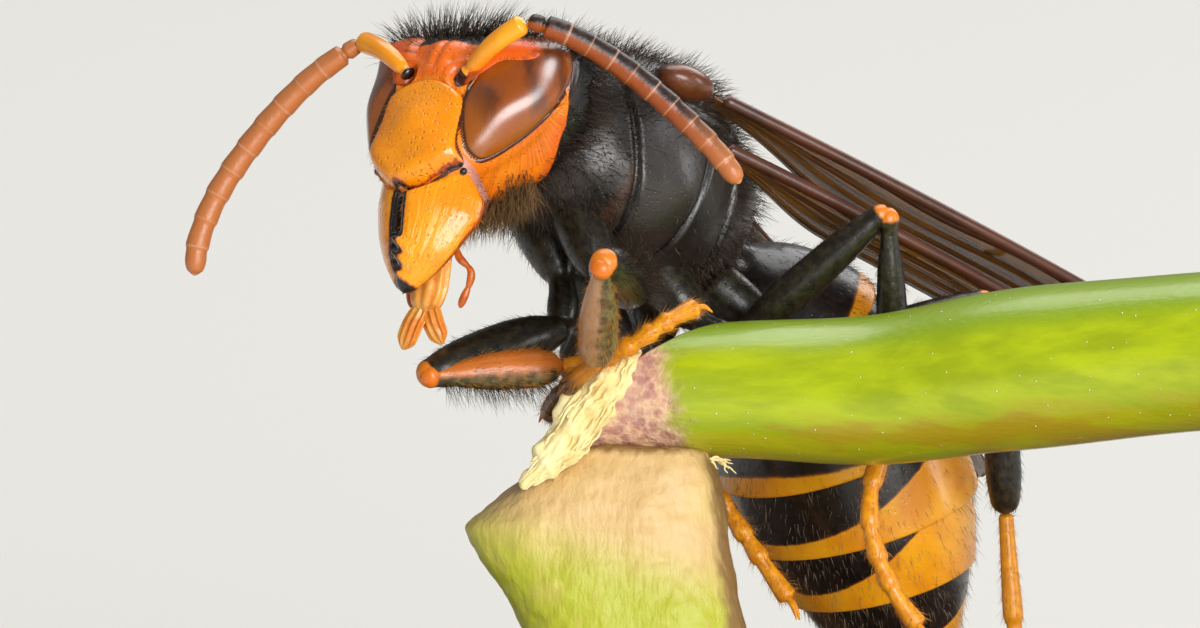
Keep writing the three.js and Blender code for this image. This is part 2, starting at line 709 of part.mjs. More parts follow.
function baseForm() {
  const { baseWide, baseDeep, baseHigh, baseCorner, baseBevel: bevel } = display;
  const [x, y] = [baseWide / 2 - bevel, baseDeep / 2 - bevel];
  const r = baseCorner;
  const shape = new THREE.Shape();
  shape.moveTo(-x + r, -y);
  shape.lineTo(x - r, -y);
  shape.absarc(x - r, -y + r, r, -Math.PI / 2, 0);
  shape.lineTo(x, y - r);
  shape.absarc(x - r, y - r, r, 0, Math.PI / 2);
  shape.lineTo(-x + r, y);
  shape.absarc(-x + r, y - r, r, Math.PI / 2, Math.PI);
  shape.lineTo(-x, -y + r);
  shape.absarc(-x + r, -y + r, r, Math.PI, Math.PI * 1.5);
  const geometry = new THREE.ExtrudeGeometry(shape, {
    depth: baseHigh - 2 * bevel,
    bevelThickness: bevel,
    bevelSize: bevel,
    bevelSegments: 1,
    curveSegments: 5,
  });
  return welded(geometry.translate(0, 0, bevel));
}

function rodForm([x, y], top, carriedForm) {
  const bottom = display.baseHigh + gap;
  const path = line(new THREE.Vector3(x, y, bottom), new THREE.Vector3(x, y, top));
  const rod = carried(path, [[0, display.rodRadius], [1, display.rodRadius]], {
    sides: 16,
    across: new THREE.Vector3(1, 0, 0),
  });
  return cut(rod, carriedForm);
}

// The specimen

const specimen = new THREE.Group();
specimen.position.set(...display.specimenAt);
specimen.rotation.x = -degrees(display.lookDown);
specimen.updateMatrix();

const headGroup = standing(new THREE.Group(), headSize);
const thoraxGroup = standing(new THREE.Group(), thorax);
specimen.add(headGroup, thoraxGroup);

const headWhole = headForm();
const headCore = headForm(-eye.socketDeep, headSize.coarse);
const eyeHole = cut(eyePrism(eye.edge), headCore);
const clypeusHole = cut(clypeusPrism(clypeus.edge), headCore);
const head = cut(headWhole, eyeHole, mirrored(eyeHole), clypeusHole);
const eyeInside = headForm(-eye.deep, headSize.coarse);
const eyeLeft = cut(common(headForm(eye.raised), eyePrism(-eye.edge)), eyeInside);
const plateInside = headForm(-clypeus.deep, headSize.coarse);
const plate = cut(common(headForm(clypeus.raised), clypeusPrism(-clypeus.edge)), plateInside);
headGroup.add(
  node('head', head, 'orange'),
  node('clypeus', plate, 'orange'),
  node('eye_left', eyeLeft, 'eye'),
  node('eye_right', mirrored(eyeLeft), 'eye'),
);

const headClear = headForm(gap);
const plateClear = common(headForm(clypeus.raised + gap), clypeusPrism(gap - clypeus.edge));
const mandibleWhole = mandibleForm();
const tuck = new THREE.Matrix4().makeRotationX(degrees(mandible.rightTilt));
const [rootLeft, rootRear, rootUp] = mandible.root;
const rightRoot = new THREE.Vector3(-rootLeft, rootRear, rootUp);
tuck.setPosition(rightRoot.clone().sub(rightRoot.clone().applyMatrix4(tuck)).add(vector(mandible.rightShift)));
const rightWhole = moved(mirrored(mandibleWhole), tuck);
const mandibleLeft = cut(mandibleWhole, headClear, plateClear);
const mandibleRight = cut(rightWhole, headClear, plateClear, grown(mandibleWhole, gap));
const mouthClear = [headClear, grown(mandibleWhole, gap), grown(rightWhole, gap)];
const labiumPiece = cut(labiumForm(), ...mouthClear);
const palpWhole = limb(curve(palp.path), [1, 1, 1, 0.9, 0.9, 0.8].map((part) => part * palp.radius), { sides: 7 });
const palpClear = [...mouthClear, grown(labiumForm(), gap)];
headGroup.add(
  node('mandible_left', mandibleLeft, 'orange'),
  node('mandible_right', mandibleRight, 'orange'),
  node('labium', labiumPiece, 'foot'),
  node('palp_left', cut(palpWhole, ...palpClear), 'foot'),
  node('palp_right', cut(mirrored(palpWhole), ...palpClear), 'foot'),
);

for (const [name, side] of [['left', 1], ['right', -1]]) {
  const { scapeEnd, run } = antenna[name];
  const [x, y, z] = antenna.socket;
  const root = new THREE.Vector3(x * side, y, z).applyMatrix4(headGroup.matrix);
  const end = vector(scapeEnd);
  const bend = root.clone().lerp(end, 0.5).add(new THREE.Vector3(0, -0.12, 0.12));
  const radius = antenna.scapeRadius;
  const scape = limb(curve([root, bend, end]), [0.7, 0.95, 1, 1.1, 1.15, 0.9].map((part) => part * radius));
  const path = curve(run);
  const rows = [[0, 0.14], [0.02, antenna.pedicelRadius], [0.06, antenna.pedicelRadius], [0.07, 0.16]];
  const share = 0.93 / antenna.joints;
  for (let i = 0; i < antenna.joints; i += 1) {
    const thick = antenna.flagellumRadius * (0.9 + 0.1 * Math.sin((Math.PI * (i + 1)) / antenna.joints));
    const start = 0.07 + i * share;
    rows.push([start + 0.12 * share, thick * 0.88], [start + 0.9 * share, thick]);
  }
  rows.push([0.985, antenna.flagellumRadius * 0.75], [1, antenna.flagellumRadius * 0.4]);
  const flagellum = carried(path, rows, { sides: 8 });
  specimen.add(
    node(`antenna_${name}_scape`, cut(scape, moved(headForm(gap), headGroup.matrix)), 'antenna'),
    node(`antenna_${name}_flagellum`, cut(flagellum, grown(scape, gap)), 'antenna'),
  );
}

// Thorax and wings

function thoraxForm() {
  const front = new THREE.Vector3(0, thorax.rows[0][0], 0);
  const rear = new THREE.Vector3(0, thorax.rows[thorax.rows.length - 1][0], 0);
  const span = rear.y - front.y;
  const rows = thorax.rows.map(([y, wide, up, down]) => [(y - front.y) / span, wide, wide, up, down]);
  return carried(line(front, rear), rows, {
    sides: thorax.sides,
    across: new THREE.Vector3(1, 0, 0),
    squareness: thorax.squareness,
  });
}

// All that lies in front of an edge across the thorax, or behind it. The edge leans by its second number.
function half([y, lean], front) {
  const block = new THREE.BoxGeometry(8, 8, 8);
  const offset = (front ? -1 : 1) * (4 + gap / 2);
  return welded(reshaped(block, (point) => {
    point.y += y + offset + lean * point.z;
  }));
}

const thoraxWhole = thoraxForm();
const prothorax = common(thoraxWhole, half(thorax.prothoraxEdge, true));
const propodeum = common(thoraxWhole, half(thorax.propodeumEdge, false));
const mesothorax = cut(thoraxWhole, half([thorax.prothoraxEdge[0] + gap, thorax.prothoraxEdge[1]], true),
  half([thorax.propodeumEdge[0] - gap, thorax.propodeumEdge[1]], false));
const headAtThorax = moved(headForm(gap), headGroup.matrix)
  .applyMatrix4(thoraxGroup.matrix.clone().invert());
const thoraxClear = grown(thoraxWhole, gap);
const tegulaWhole = welded(new THREE.SphereGeometry(1, 10, 8).scale(...tegula.radii).translate(...tegula.at));
const tegulaLeft = cut(tegulaWhole, thoraxClear);
const wingClear = [thoraxClear, grown(tegulaWhole, gap)];
const forewing = cut(wingForm(wing.fore), ...wingClear);
const hindwing = cut(wingForm(wing.hind), ...wingClear);
thoraxGroup.add(
  node('prothorax', cut(prothorax, headAtThorax), 'black'),
  node('mesothorax', mesothorax, 'black'),
  node('propodeum', propodeum, 'black'),
  node('tegula_left', tegulaLeft, 'antenna'),
  node('tegula_right', mirrored(tegulaLeft), 'antenna'),
  node('forewing_left', forewing, 'wing'),
  node('forewing_right', mirrored(forewing), 'wing'),
  node('hindwing_left', hindwing, 'wing'),
  node('hindwing_right', mirrored(hindwing), 'wing'),
);

const thoraxThere = moved(thoraxClear, thoraxGroup.matrix);
const gasterPaints = ['black', 'black', 'band', 'band', 'black', 'black'];
const gasterPieces = gasterSegments();
gasterPieces.forEach((segment, i) => {
  const piece = i === 0 ? cut(segment, thoraxThere) : segment;
  specimen.add(node(`gaster_${i + 1}`, piece, gasterPaints[i]));
});

const stemClear = stemForm(gap);
const perchStub = cut(stubForm(), stemClear);
specimen.add(node('perch_stem', stemForm(), 'stem'), node('perch_stub', perchStub, 'stem'));

const gasterClear = gasterPieces.slice(0, 2).map((segment) => grown(segment, gap));
const legs = {};
for (const [name, pose] of Object.entries(legPoses)) {
  const [pair, sideName] = name.split('_');
  legs[name] = legForms(pair, sideName === 'left' ? 1 : -1, pose, thoraxGroup.matrix);
}
// The fore feet lie on the stem, the left one across the right leg.
const { fore_left: foreLeft, fore_right: foreRight } = legs;
foreRight.tarsus = cut(foreRight.tarsus, stemClear);
foreLeft.tarsus = cut(
  foreLeft.tarsus,
  stemClear,
  grown(perchStub, gap),
  grown(foreRight.tibia, gap),
  grown(foreRight.tarsus, gap),
);
for (const [name, forms] of Object.entries(legs)) {
  specimen.add(
    node(`${name}_coxa`, cut(forms.coxa, thoraxThere, ...gasterClear), 'leg'),
    node(`${name}_femur`, forms.femur, 'leg'),
    node(`${name}_tibia`, forms.tibia, 'leg'),
    node(`${name}_tarsus`, forms.tarsus, 'foot'),
  );
}

const stand = new THREE.Group();
const stubThere = moved(grown(perchStub, gap), specimen.matrix);
const stemThere = moved(stemClear, specimen.matrix);
const [, , specimenHigh] = display.specimenAt;
stand.add(
  node('stand_base', baseForm(), 'base'),
  node('stand_rod_left', rodForm(display.leftRodAt, specimenHigh - display.rodReach, stubThere), 'rod'),
  node('stand_rod_right', rodForm(display.rightRodAt, specimenHigh, stemThere), 'rod'),
);

const model = new THREE.Group();
model.add(specimen, stand);

export default model;
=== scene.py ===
import math

import bmesh
import bpy
import numpy as np
from mathutils import Matrix, Vector, noise
from mathutils.bvhtree import BVHTree


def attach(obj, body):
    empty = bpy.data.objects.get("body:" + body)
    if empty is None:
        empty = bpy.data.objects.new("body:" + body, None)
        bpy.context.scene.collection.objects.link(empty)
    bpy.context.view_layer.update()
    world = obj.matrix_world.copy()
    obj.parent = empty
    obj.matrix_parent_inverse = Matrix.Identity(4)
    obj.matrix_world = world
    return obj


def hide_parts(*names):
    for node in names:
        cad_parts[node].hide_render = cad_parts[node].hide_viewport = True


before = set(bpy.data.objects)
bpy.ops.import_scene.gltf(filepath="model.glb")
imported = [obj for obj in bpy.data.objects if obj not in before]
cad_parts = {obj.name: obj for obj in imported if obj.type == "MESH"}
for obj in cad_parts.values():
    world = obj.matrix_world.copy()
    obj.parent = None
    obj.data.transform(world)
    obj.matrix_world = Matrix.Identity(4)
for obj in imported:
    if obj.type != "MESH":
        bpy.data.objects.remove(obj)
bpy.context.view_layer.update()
print("frame loaded with", len(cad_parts), "nodes")

# The three frames: +X to the right or to the animal's left, +Y away or rearward, +Z up
specimen = {"lookDown": 8, "at": (-4, -6.5, 15.6)}
headPose = {"at": (-2.85, 0, 4.2), "yaw": 42, "pitch": 17.5}
thoraxPose = {"at": (0.4, 3.0, 3.0), "yaw": 48, "pitch": 18}


def turned(degrees, axis):
    return Matrix.Rotation(math.radians(degrees), 4, axis)


def standing(pose):
    return Matrix.Translation(pose["at"]) @ turned(-pose["yaw"], "Z") @ turned(-pose["pitch"], "X")


whole = Matrix.Translation(specimen["at"]) @ turned(-specimen["lookDown"], "X")
headPlace = whole @ standing(headPose)
thoraxPlace = whole @ standing(thoraxPose)
upright = Matrix.Identity(4)


# Numbers and colours
def tone(code):
    # a colour as it is seen, such as "f29a1c", turned into the renderer's linear values
    parts = [int(code[i:i + 2], 16) / 255 for i in (0, 2, 4)]
    return tuple(p / 12.92 if p <= 0.04045 else ((p + 0.055) / 1.055) ** 2.4 for p in parts) + (1,)


def smooth(low, high, value):
    share = (value - low) / (high - low)
    share = np.clip(share, 0, 1) if isinstance(share, np.ndarray) else min(1, max(0, share))
    return share * share * (3 - 2 * share)


def mixed(a, b, share):
    return a + (b - a) * share


def bell(value, middle, width):
    power = -((value - middle) / width) ** 2
    return np.exp(power) if isinstance(power, np.ndarray) else math.exp(power)


def towards(heading):
    bearing, rise = (math.radians(angle) for angle in heading)
    return Vector((math.cos(bearing) * math.cos(rise), math.sin(bearing) * math.cos(rise), math.sin(rise)))


# Shader maths as expressions
class Wire:
    def __init__(self, finish, socket):
        self.finish, self.socket = finish, socket

    def maths(self, operation, a, b):
        return self.finish.add("Math", {"operation": operation}, {0: a, 1: b})

    def __add__(self, other):
        return self.maths("ADD", self, other)

    def __radd__(self, other):
        return self.maths("ADD", other, self)

    def __sub__(self, other):
        return self.maths("SUBTRACT", self, other)

    def __rsub__(self, other):
        return self.maths("SUBTRACT", other, self)

    def __mul__(self, other):
        return self.maths("MULTIPLY", self, other)

    def between(self, low, high):
        # 0 below low, 1 above high, smooth between them
        settings = {"interpolation_type": "SMOOTHSTEP"}
        return self.finish.add("MapRange", settings, {"Value": self, "From Min": low, "From Max": high})


class Finish:
    def __init__(self, name, constants):
        self.material = bpy.data.materials.new(name)
        self.material.use_nodes = True
        self.tree = self.material.node_tree
        self.shader = self.tree.nodes["Principled BSDF"]
        for name, value in constants.items():
            self.set(name, value)
        metres = self.add("TexCoord", {}, {}, 3)
        self.place = self.add("VectorMath", {"operation": "SCALE"}, {0: metres, "Scale": 1000})

    def add(self, kind, settings, values, output=0):
        made = self.tree.nodes.new("ShaderNode" + kind)
        for key, value in settings.items():
            setattr(made, key, value)
        for key, value in values.items():
            self.feed(made.inputs[key], value)
        return Wire(self, made.outputs[output])

    def feed(self, socket, value):
        # a socket is given a link, a colour as it is seen, or a number
        if isinstance(value, Wire):
            self.tree.links.new(value.socket, socket)
        else:
            socket.default_value = tone(value) if isinstance(value, str) else value

    def set(self, name, value):
        self.feed(self.shader.inputs[name], value)

    def mark(self, name):
        return self.add("Attribute", {"attribute_name": name}, {}, 2)

    def stretched(self, scale):
        return self.add("Mapping", {}, {"Vector": self.place, "Scale": scale})

    def cloud(self, scale, detail=3, place=None):
        return self.add("TexNoise", {}, {"Vector": place or self.place, "Scale": scale, "Detail": detail})

    def cells(self, scale):
        return self.add("TexVoronoi", {}, {"Vector": self.place, "Scale": scale})

    def holes(self, scale, size):
        # 1 in small round spots, scale of them along a millimetre
        return 1 - self.cells(scale).between(0.0, size)

    def colour(self, share, a, b):
        return self.add("Mix", {"data_type": "RGBA"}, {0: share, 6: a, 7: b}, 2)

    def grain(self, a, b, c):
        return self.add("CombineXYZ", {}, {0: a, 1: b, 2: c})

    def done(self, colour, roughness, height):
        # height is in millimetres
        self.set("Base Color", colour)
        self.set("Roughness", roughness)
        self.set("Normal", self.add("Bump", {}, {"Strength": 1.0, "Distance": 0.001, "Height": height}))
        return self


# Lines, forms and pieces
class Course:
    # a smooth line through points, read by its share of the length
    def __init__(self, points, closed=False):
        self.points = [Vector(point) for point in points]
        self.closed = closed
        count = 24 * len(points)
        self.samples = [self.through(i / count) for i in range(count + 1)]
        self.reach = np.cumsum([0] + [(b - a).length for a, b in zip(self.samples, self.samples[1:])])
        self.length = float(self.reach[-1])

    def through(self, share):
        points, count = self.points, len(self.points)
        place = (count if self.closed else count - 1) * share
        first = min(int(place), count - (1 if self.closed else 2))
        weight = place - first
        b, c = points[first % count], points[(first + 1) % count]
        a = points[first - 1] if self.closed or first > 0 else b * 2 - c
        d = points[(first + 2) % count] if self.closed or first + 2 < count else c * 2 - b
        spans = [max((q - p).length ** 0.5, 1e-3) for p, q in ((a, b), (b, c), (c, d))]
        leave = ((b - a) / spans[0] - (c - a) / (spans[0] + spans[1]) + (c - b) / spans[1]) * spans[1]
        arrive = ((c - b) / spans[1] - (d - b) / (spans[1] + spans[2]) + (d - c) / spans[2]) * spans[1]
        return (b + leave * weight + (c * 3 - b * 3 - leave * 2 - arrive) * weight ** 2
                + (b * 2 - c * 2 + leave + arrive) * weight ** 3)

    def at(self, share):
        place = float(np.interp(share * self.length, self.reach, np.arange(len(self.reach))))
        first = min(int(place), len(self.samples) - 2)
        return self.samples[first].lerp(self.samples[first + 1], place - first)

    def heading(self, share):
        return (self.at(min(1, share + 0.02)) - self.at(max(0, share - 0.02))).normalized()


def eased(rows, at):
    # the values of rows [place, value, value...] read smoothly at a place
    keys = [row[0] for row in rows]
    i = int(np.clip(np.searchsorted(keys, at) - 1, 0, len(rows) - 2))
    span = keys[i + 1] - keys[i]
    t = float(np.clip((at - keys[i]) / span, 0, 1))
    values = []
    for column in range(1, len(rows[0])):
        line = [row[column] for row in rows]
        slopes = [(line[k + 1] - line[k]) / (keys[k + 1] - keys[k]) for k in range(len(rows) - 1)]

        def lean(k):
            if k == 0 or k == len(rows) - 1 or slopes[k - 1] * slopes[k] <= 0:
                return 0.0 if 0 < k < len(rows) - 1 else slopes[min(k, len(slopes) - 1)]
            return 2 * slopes[k - 1] * slopes[k] / (slopes[k - 1] + slopes[k])

        values.append(line[i] * (1 + 2 * t) * (1 - t) ** 2 + line[i + 1] * t * t * (3 - 2 * t)
                      + span * (lean(i) * t * (1 - t) ** 2 - lean(i + 1) * t * t * (1 - t)))
    return values


def layersOf(mesh, *names):
    # the number layers of a mesh's points, made where they are missing
    kept = mesh.verts.layers.float
    for name in names:
        if kept.get(name) is None:
            kept.new(name)
    return [kept[name] for name in names]


balls = {}


def ballOf(sides, rings):
    # a sphere whose rings are reshaped one by one; it remembers where each point was
    if (sides, rings) not in balls:
        mesh = bmesh.new()
        bmesh.ops.create_uvsphere(mesh, u_segments=sides, v_segments=rings + 1, radius=1)
        around, along = layersOf(mesh, "around", "along")
        for vert in mesh.verts:
            vert[around] = (math.atan2(vert.co.y, vert.co.x) / (2 * math.pi)) % 1
            vert[along] = math.acos(max(-1, min(1, vert.co.z))) / math.pi
        balls[sides, rings] = mesh
    return balls[sides, rings].copy()


def lofted(stations, sides, squareness=2.0):
    # stations are (centre, side, up, right, left, above, below), from one end to the other
    mesh = ballOf(sides, len(stations))
    around, along = layersOf(mesh, "around", "along")
    last = len(stations) - 1
    for vert in mesh.verts:
        ring = round(vert[along] * (last + 2)) - 1
        centre, side, up, right, left, above, below = stations[min(max(ring, 0), last)]
        if 0 <= ring <= last:
            angle = vert[around] * 2 * math.pi
            x, z = (math.copysign(abs(f(angle)) ** (2 / squareness), f(angle)) for f in (math.cos, math.sin))
            wide, high = left if x > 0 else right, above if z > 0 else below
            vert.co = centre + side * (x * wide) + up * (z * high)
        else:
            vert.co = centre
        vert[along] = min(max(ring, 0), last) / last
    return mesh


def ringShares(rings):
    # shares of a length that lie closer together at its two ends
    last = rings - 1
    return [(1 - math.cos(math.pi * i / last)) / 2 * 0.6 + i / last * 0.4 for i in range(rings)]


def scaledRows(rows, radius):
    return [(share, radius * thick) for share, thick in rows]


def carried(course, rows, sides=24, rings=40, across=(0, 0, 1), squareness=2.0, ends=(0.3, 0.3)):
    # rows are [share of the length, radius], [share, half width, half height] or
    # [share, right, left, above, below]; ends are the lengths of the rounded ends
    stations = []
    for share in ringShares(rings):
        values = eased(rows, share)
        if len(values) == 1:
            values = values * 4
        elif len(values) == 2:
            values = [values[0], values[0], values[1], values[1]]
        for far, end in ((share * course.length, ends[0]), ((1 - share) * course.length, ends[1])):
            if far < end:
                rounding = math.sqrt(max(0, 1 - (1 - far / end) ** 2))
                values = [value * rounding for value in values]
        forward = course.heading(share)
        side = (Vector(across) - forward * forward.dot(Vector(across))).normalized()
        stations.append((course.at(share), side, side.cross(forward), *values))
    return lofted(stations, sides, squareness)


def pushed(mesh, distance):
    # moves each point along its normal by distance(point, vert), in millimetres
    mesh.normal_update()
    moves = [(vert, vert.co + vert.normal * distance(vert.co, vert)) for vert in mesh.verts]
    for vert, place in moves:
        vert.co = place
    return mesh


def marked(mesh, name, value):
    layer = layersOf(mesh, name)[0]
    for vert in mesh.verts:
        vert[layer] = value(vert.co, vert)
    return mesh


def together(*meshes):
    # several forms as one piece
    joined = meshes[0]
    for other in meshes[1:]:
        kept = bpy.data.meshes.new("kept")
        other.to_mesh(kept)
        joined.from_mesh(kept)
        other.free()
        bpy.data.meshes.remove(kept)
    return joined


def sized(mesh, size, place=(0, 0, 0)):
    bmesh.ops.scale(mesh, vec=size, verts=mesh.verts)
    bmesh.ops.translate(mesh, vec=place, verts=mesh.verts)
    return mesh


def mirroredOver(mesh):
    other = mesh.copy()
    bmesh.ops.scale(other, vec=(-1, 1, 1), verts=other.verts)
    bmesh.ops.reverse_faces(other, faces=other.faces)
    return other


def piece(name, mesh, placing, finish, slotName, *nodes):
    mesh.transform(Matrix.Scale(0.001, 4) @ placing)
    bmesh.ops.recalc_face_normals(mesh, faces=mesh.faces)
    data = bpy.data.meshes.new(name)
    mesh.to_mesh(data)
    mesh.free()
    data.shade_smooth()
    return shown(name, data, finish, slotName, *nodes)


def shown(name, data, finish, slotName, *nodes):
    data.materials.append(finish.material)
    made = bpy.data.objects.new(name, data)
    bpy.context.scene.collection.objects.link(made)
    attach(made, "root")
    if nodes:
        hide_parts(*nodes)
    return made


# Coats of hair
def listed(things, key, wide, kind=np.float32):
    values = np.empty(len(things) * wide, kind)
    things.foreach_get(key, values)
    return values.reshape(-1, wide)


def rootsOn(mesh, count, wanted, seed):
    # random places on a mesh, more where wanted(places, normals) is greater
    data = bpy.data.meshes.new("roots")
    mesh.to_mesh(data)
    data.calc_loop_triangles()
    corners = listed(data.loop_triangles, "vertices", 3, np.int32)
    place = listed(data.vertices, "co", 3)[corners]
    normal = listed(data.vertices, "normal", 3)[corners]
    turns = [listed(data.attributes[key].data, "value", 1)[:, 0] for key in ("around", "along")]
    spot = np.stack(turns, 1)[corners]
    bpy.data.meshes.remove(data)
    spot[..., 0] -= (spot[..., 0] - spot[:, :1, 0] > 0.5)
    spot[..., 0] += (spot[:, :1, 0] - spot[..., 0] > 0.5)
    area = np.linalg.norm(np.cross(place[:, 1] - place[:, 0], place[:, 2] - place[:, 0]), axis=1)
    weight = area * np.clip(wanted(place.mean(1), normal.mean(1)), 0, None)
    draw = np.random.RandomState(seed)
    chosen = draw.choice(len(weight), count, p=weight / weight.sum())
    a, b = draw.rand(2, count)
    a, b = np.where(a + b > 1, 1 - a, a), np.where(a + b > 1, 1 - b, b)
    shares = np.stack([1 - a - b, a, b], 1)[..., None]
    unit = (normal[chosen] * shares).sum(1)
    unit /= np.linalg.norm(unit, axis=1, keepdims=True) + 1e-9
    return (place[chosen] * shares).sum(1), unit, (spot[chosen] * shares).sum(1), draw


def coat(name, mesh, placing, finish, slotName, hair, wanted, lie, seed):
    # hair has count, length, radius, rise, spread, droop; lie(places) is the way the coat lies;
    # each hair's patch in the OFBake map is at its root's place on the skin
    root, normal, spot, draw = rootsOn(mesh, hair["count"], wanted, seed)
    count, rings = hair["count"], hair.get("rings", 3)
    way = lie(root)
    way = way - normal * (way * normal).sum(1, keepdims=True)
    way /= np.linalg.norm(way, axis=1, keepdims=True) + 1e-9
    start = normal * hair["rise"] + way * (1 - hair["rise"]) + draw.normal(0, hair["spread"], (count, 3))
    start /= np.linalg.norm(start, axis=1, keepdims=True)
    bend = way * hair["droop"] + draw.normal(0, hair["spread"] * 0.5, (count, 3))
    length = hair["length"] * draw.uniform(0.55, 1.25, (count, 1))
    radius = hair["radius"] * draw.uniform(0.7, 1.2, (count, 1))
    side = np.cross(start, draw.normal(0, 1, (count, 3)))
    side /= np.linalg.norm(side, axis=1, keepdims=True) + 1e-9
    other = np.cross(start, side)
    places, patches = [], []
    root = root - normal * 0.04
    for ring in range(rings + 1):
        t = ring / rings
        middle = root + length * (start * t + bend * t * t * 0.5)
        if ring == rings:
            places.append(middle)
            patches.append(spot + (0, 0.0015))
            continue
        for corner in range(3):
            angle = corner * 2 * math.pi / 3
            thick = radius * (1 - 0.75 * t)
            places.append(middle + (side * math.cos(angle) + other * math.sin(angle)) * thick)
            patches.append(spot + (0.0012 * math.cos(angle), 0.003 * (t - 0.5)))
    points = np.stack(places, 1)
    uvs = np.stack(patches, 1)
    uvs[..., 0] %= 1
    faces = [(2, 1, 0)]
    for ring in range(rings - 1):
        for corner in range(3):
            a, b = ring * 3 + corner, ring * 3 + (corner + 1) % 3
            faces += [(a, b, b + 3), (a, b + 3, a + 3)]
    last = (rings - 1) * 3
    faces += [(last + c, last + (c + 1) % 3, rings * 3) for c in range(3)]
    grid = (np.arange(count)[:, None, None] * points.shape[1] + np.array(faces)[None]).reshape(-1, 3)
    flat = np.c_[points.reshape(-1, 3), np.ones(points.shape[0] * points.shape[1])]
    flat = (flat @ np.array(placing).T)[:, :3] * 0.001
    data = bpy.data.meshes.new(name)
    data.from_pydata(flat.tolist(), [], grid.tolist())
    layer = data.uv_layers.new(name="OFBake")
    layer.data.foreach_set("uv", uvs.reshape(-1, 2)[grid.ravel()].ravel().astype(np.float32))
    shade = data.attributes.new("shade", "FLOAT", "POINT")
    shade.data.foreach_set("value", np.repeat(draw.rand(count), points.shape[1]).astype(np.float32))
    tip = data.attributes.new("tip", "FLOAT", "POINT")
    share = np.r_[np.repeat(np.arange(rings) / rings, 3), 1]
    tip.data.foreach_set("value", np.tile(share, count).astype(np.float32))
    data.shade_smooth()
    return shown(name, data, finish, slotName)


def allOver(places, normals):
    return np.ones(len(places))


def steady(direction):
    return lambda places: np.tile(np.array(direction, float), (len(places), 1))


# Finishes: colours are given as seen, and a mark is a number kept on a mesh's points
def shell(name, base, pits, marks=(), lines=None):
    # a glossy cuticle: two tones, marks of other colours, pits, and fine lines square to an edge
    finish = Finish(name, {"Coat Weight": 0.35, "Coat Roughness": base.get("gloss", 0.12)})
    drift, fine = finish.cloud(base.get("patch", 0.8), 4), finish.cloud(9, 3)
    colour = finish.colour(drift.between(0.35, 0.65), *base["tones"])
    for mark, paint, wobble in marks:
        edge = (finish.mark(mark) + (fine - 0.5) * wobble).between(0.35, 0.65)
        colour = finish.colour(edge, colour, paint)
    hole = finish.holes(pits["scale"], pits["size"])
    height = drift * 0.02 + fine * pits.get("waves", 0.004) - hole * pits["depth"]
    if lines:
        where = finish.mark(lines["where"])
        line = finish.cloud(1, 2, finish.grain(finish.mark("edge") * lines["pitch"], 0, where))
        line = line.between(0.42, 0.62) * where
        height = height - line * lines["depth"]
        colour = finish.colour(line * lines["strength"], colour, lines["paint"])
    return finish.done(colour, base["roughness"] + (fine - 0.5) * 0.12 + hole * 0.1, height)


def fuzz(name, low, high):
    finish = Finish(name, {"Roughness": 0.5, "Specular IOR Level": 0.4})
    colour = finish.colour(finish.mark("shade"), low, high)
    finish.set("Base Color", finish.colour(finish.mark("tip") * 0.35, colour, high))
    return finish


headFinish = shell(
    "head_cuticle", {"tones": ("ee7806", "f78c08"), "roughness": 0.36},
    {"scale": 8, "size": 0.34, "depth": 0.02},
    [("red", "f06c0a", 0.45), ("membrane", "d99a88", 0.4), ("black", "0c0806", 0.4),
     ("groove", "4a1c06", 0.1)],
    {"where": "cheek", "pitch": 19, "depth": 0.015, "paint": "b8460a", "strength": 0.3})
clypeusFinish = shell(
    "clypeus_cuticle", {"tones": ("f88a02", "fd9a0a"), "roughness": 0.26, "patch": 0.5, "gloss": 0.09},
    {"scale": 8, "size": 0.34, "depth": 0.028},
    [("warm", "a83c08", 0.7), ("rim", "140805", 0.8), ("groove", "8a3206", 0.2)])
lobeFinish = shell(
    "eye_lobe_cuticle", {"tones": ("d64e06", "e66a0c"), "roughness": 0.42},
    {"scale": 8, "size": 0.3, "depth": 0.004}, (),
    {"where": "cheek", "pitch": 16, "depth": 0.008, "paint": "6a1c04", "strength": 0.55})
blackFinish = shell(
    "black_cuticle", {"tones": ("17120f", "2a221c"), "roughness": 0.36, "gloss": 0.28},
    {"scale": 9, "size": 0.3, "depth": 0.01, "waves": 0.01},
    [("groove", "050403", 0.1), ("brown", "3a2010", 0.4)])
hairDark = fuzz("hair_dark", "0e0a07", "42301f")
hairBrown = fuzz("hair_brown", "3a2412", "8c6a3c")
hairGold = fuzz("hair_gold", "a05a14", "e09a3c")
hairPale = fuzz("hair_pale", "5a4a34", "b09a78")


def jawFinish():
    finish = Finish("jaw_cuticle", {"Coat Weight": 0.5, "Coat Roughness": 0.1})
    line = finish.cloud(1, 4, finish.grain(finish.mark("along") * 3, finish.mark("around") * 46, 0))
    fine, black = finish.cloud(10, 3), finish.mark("black")
    colour = finish.colour(finish.cloud(0.7, 3).between(0.35, 0.65), "f68e04", "fda40c")
    colour = finish.colour((black + (fine - 0.5) * 0.4).between(0.08, 0.45), colour, "b24a08")
    colour = finish.colour((black + (fine - 0.5) * 0.5).between(0.4, 0.6), colour, "0d0706")
    height = line * 0.04 + fine * 0.004 - finish.holes(8, 0.3) * 0.022
    return finish.done(colour, 0.26 + (fine - 0.5) * 0.15, height)


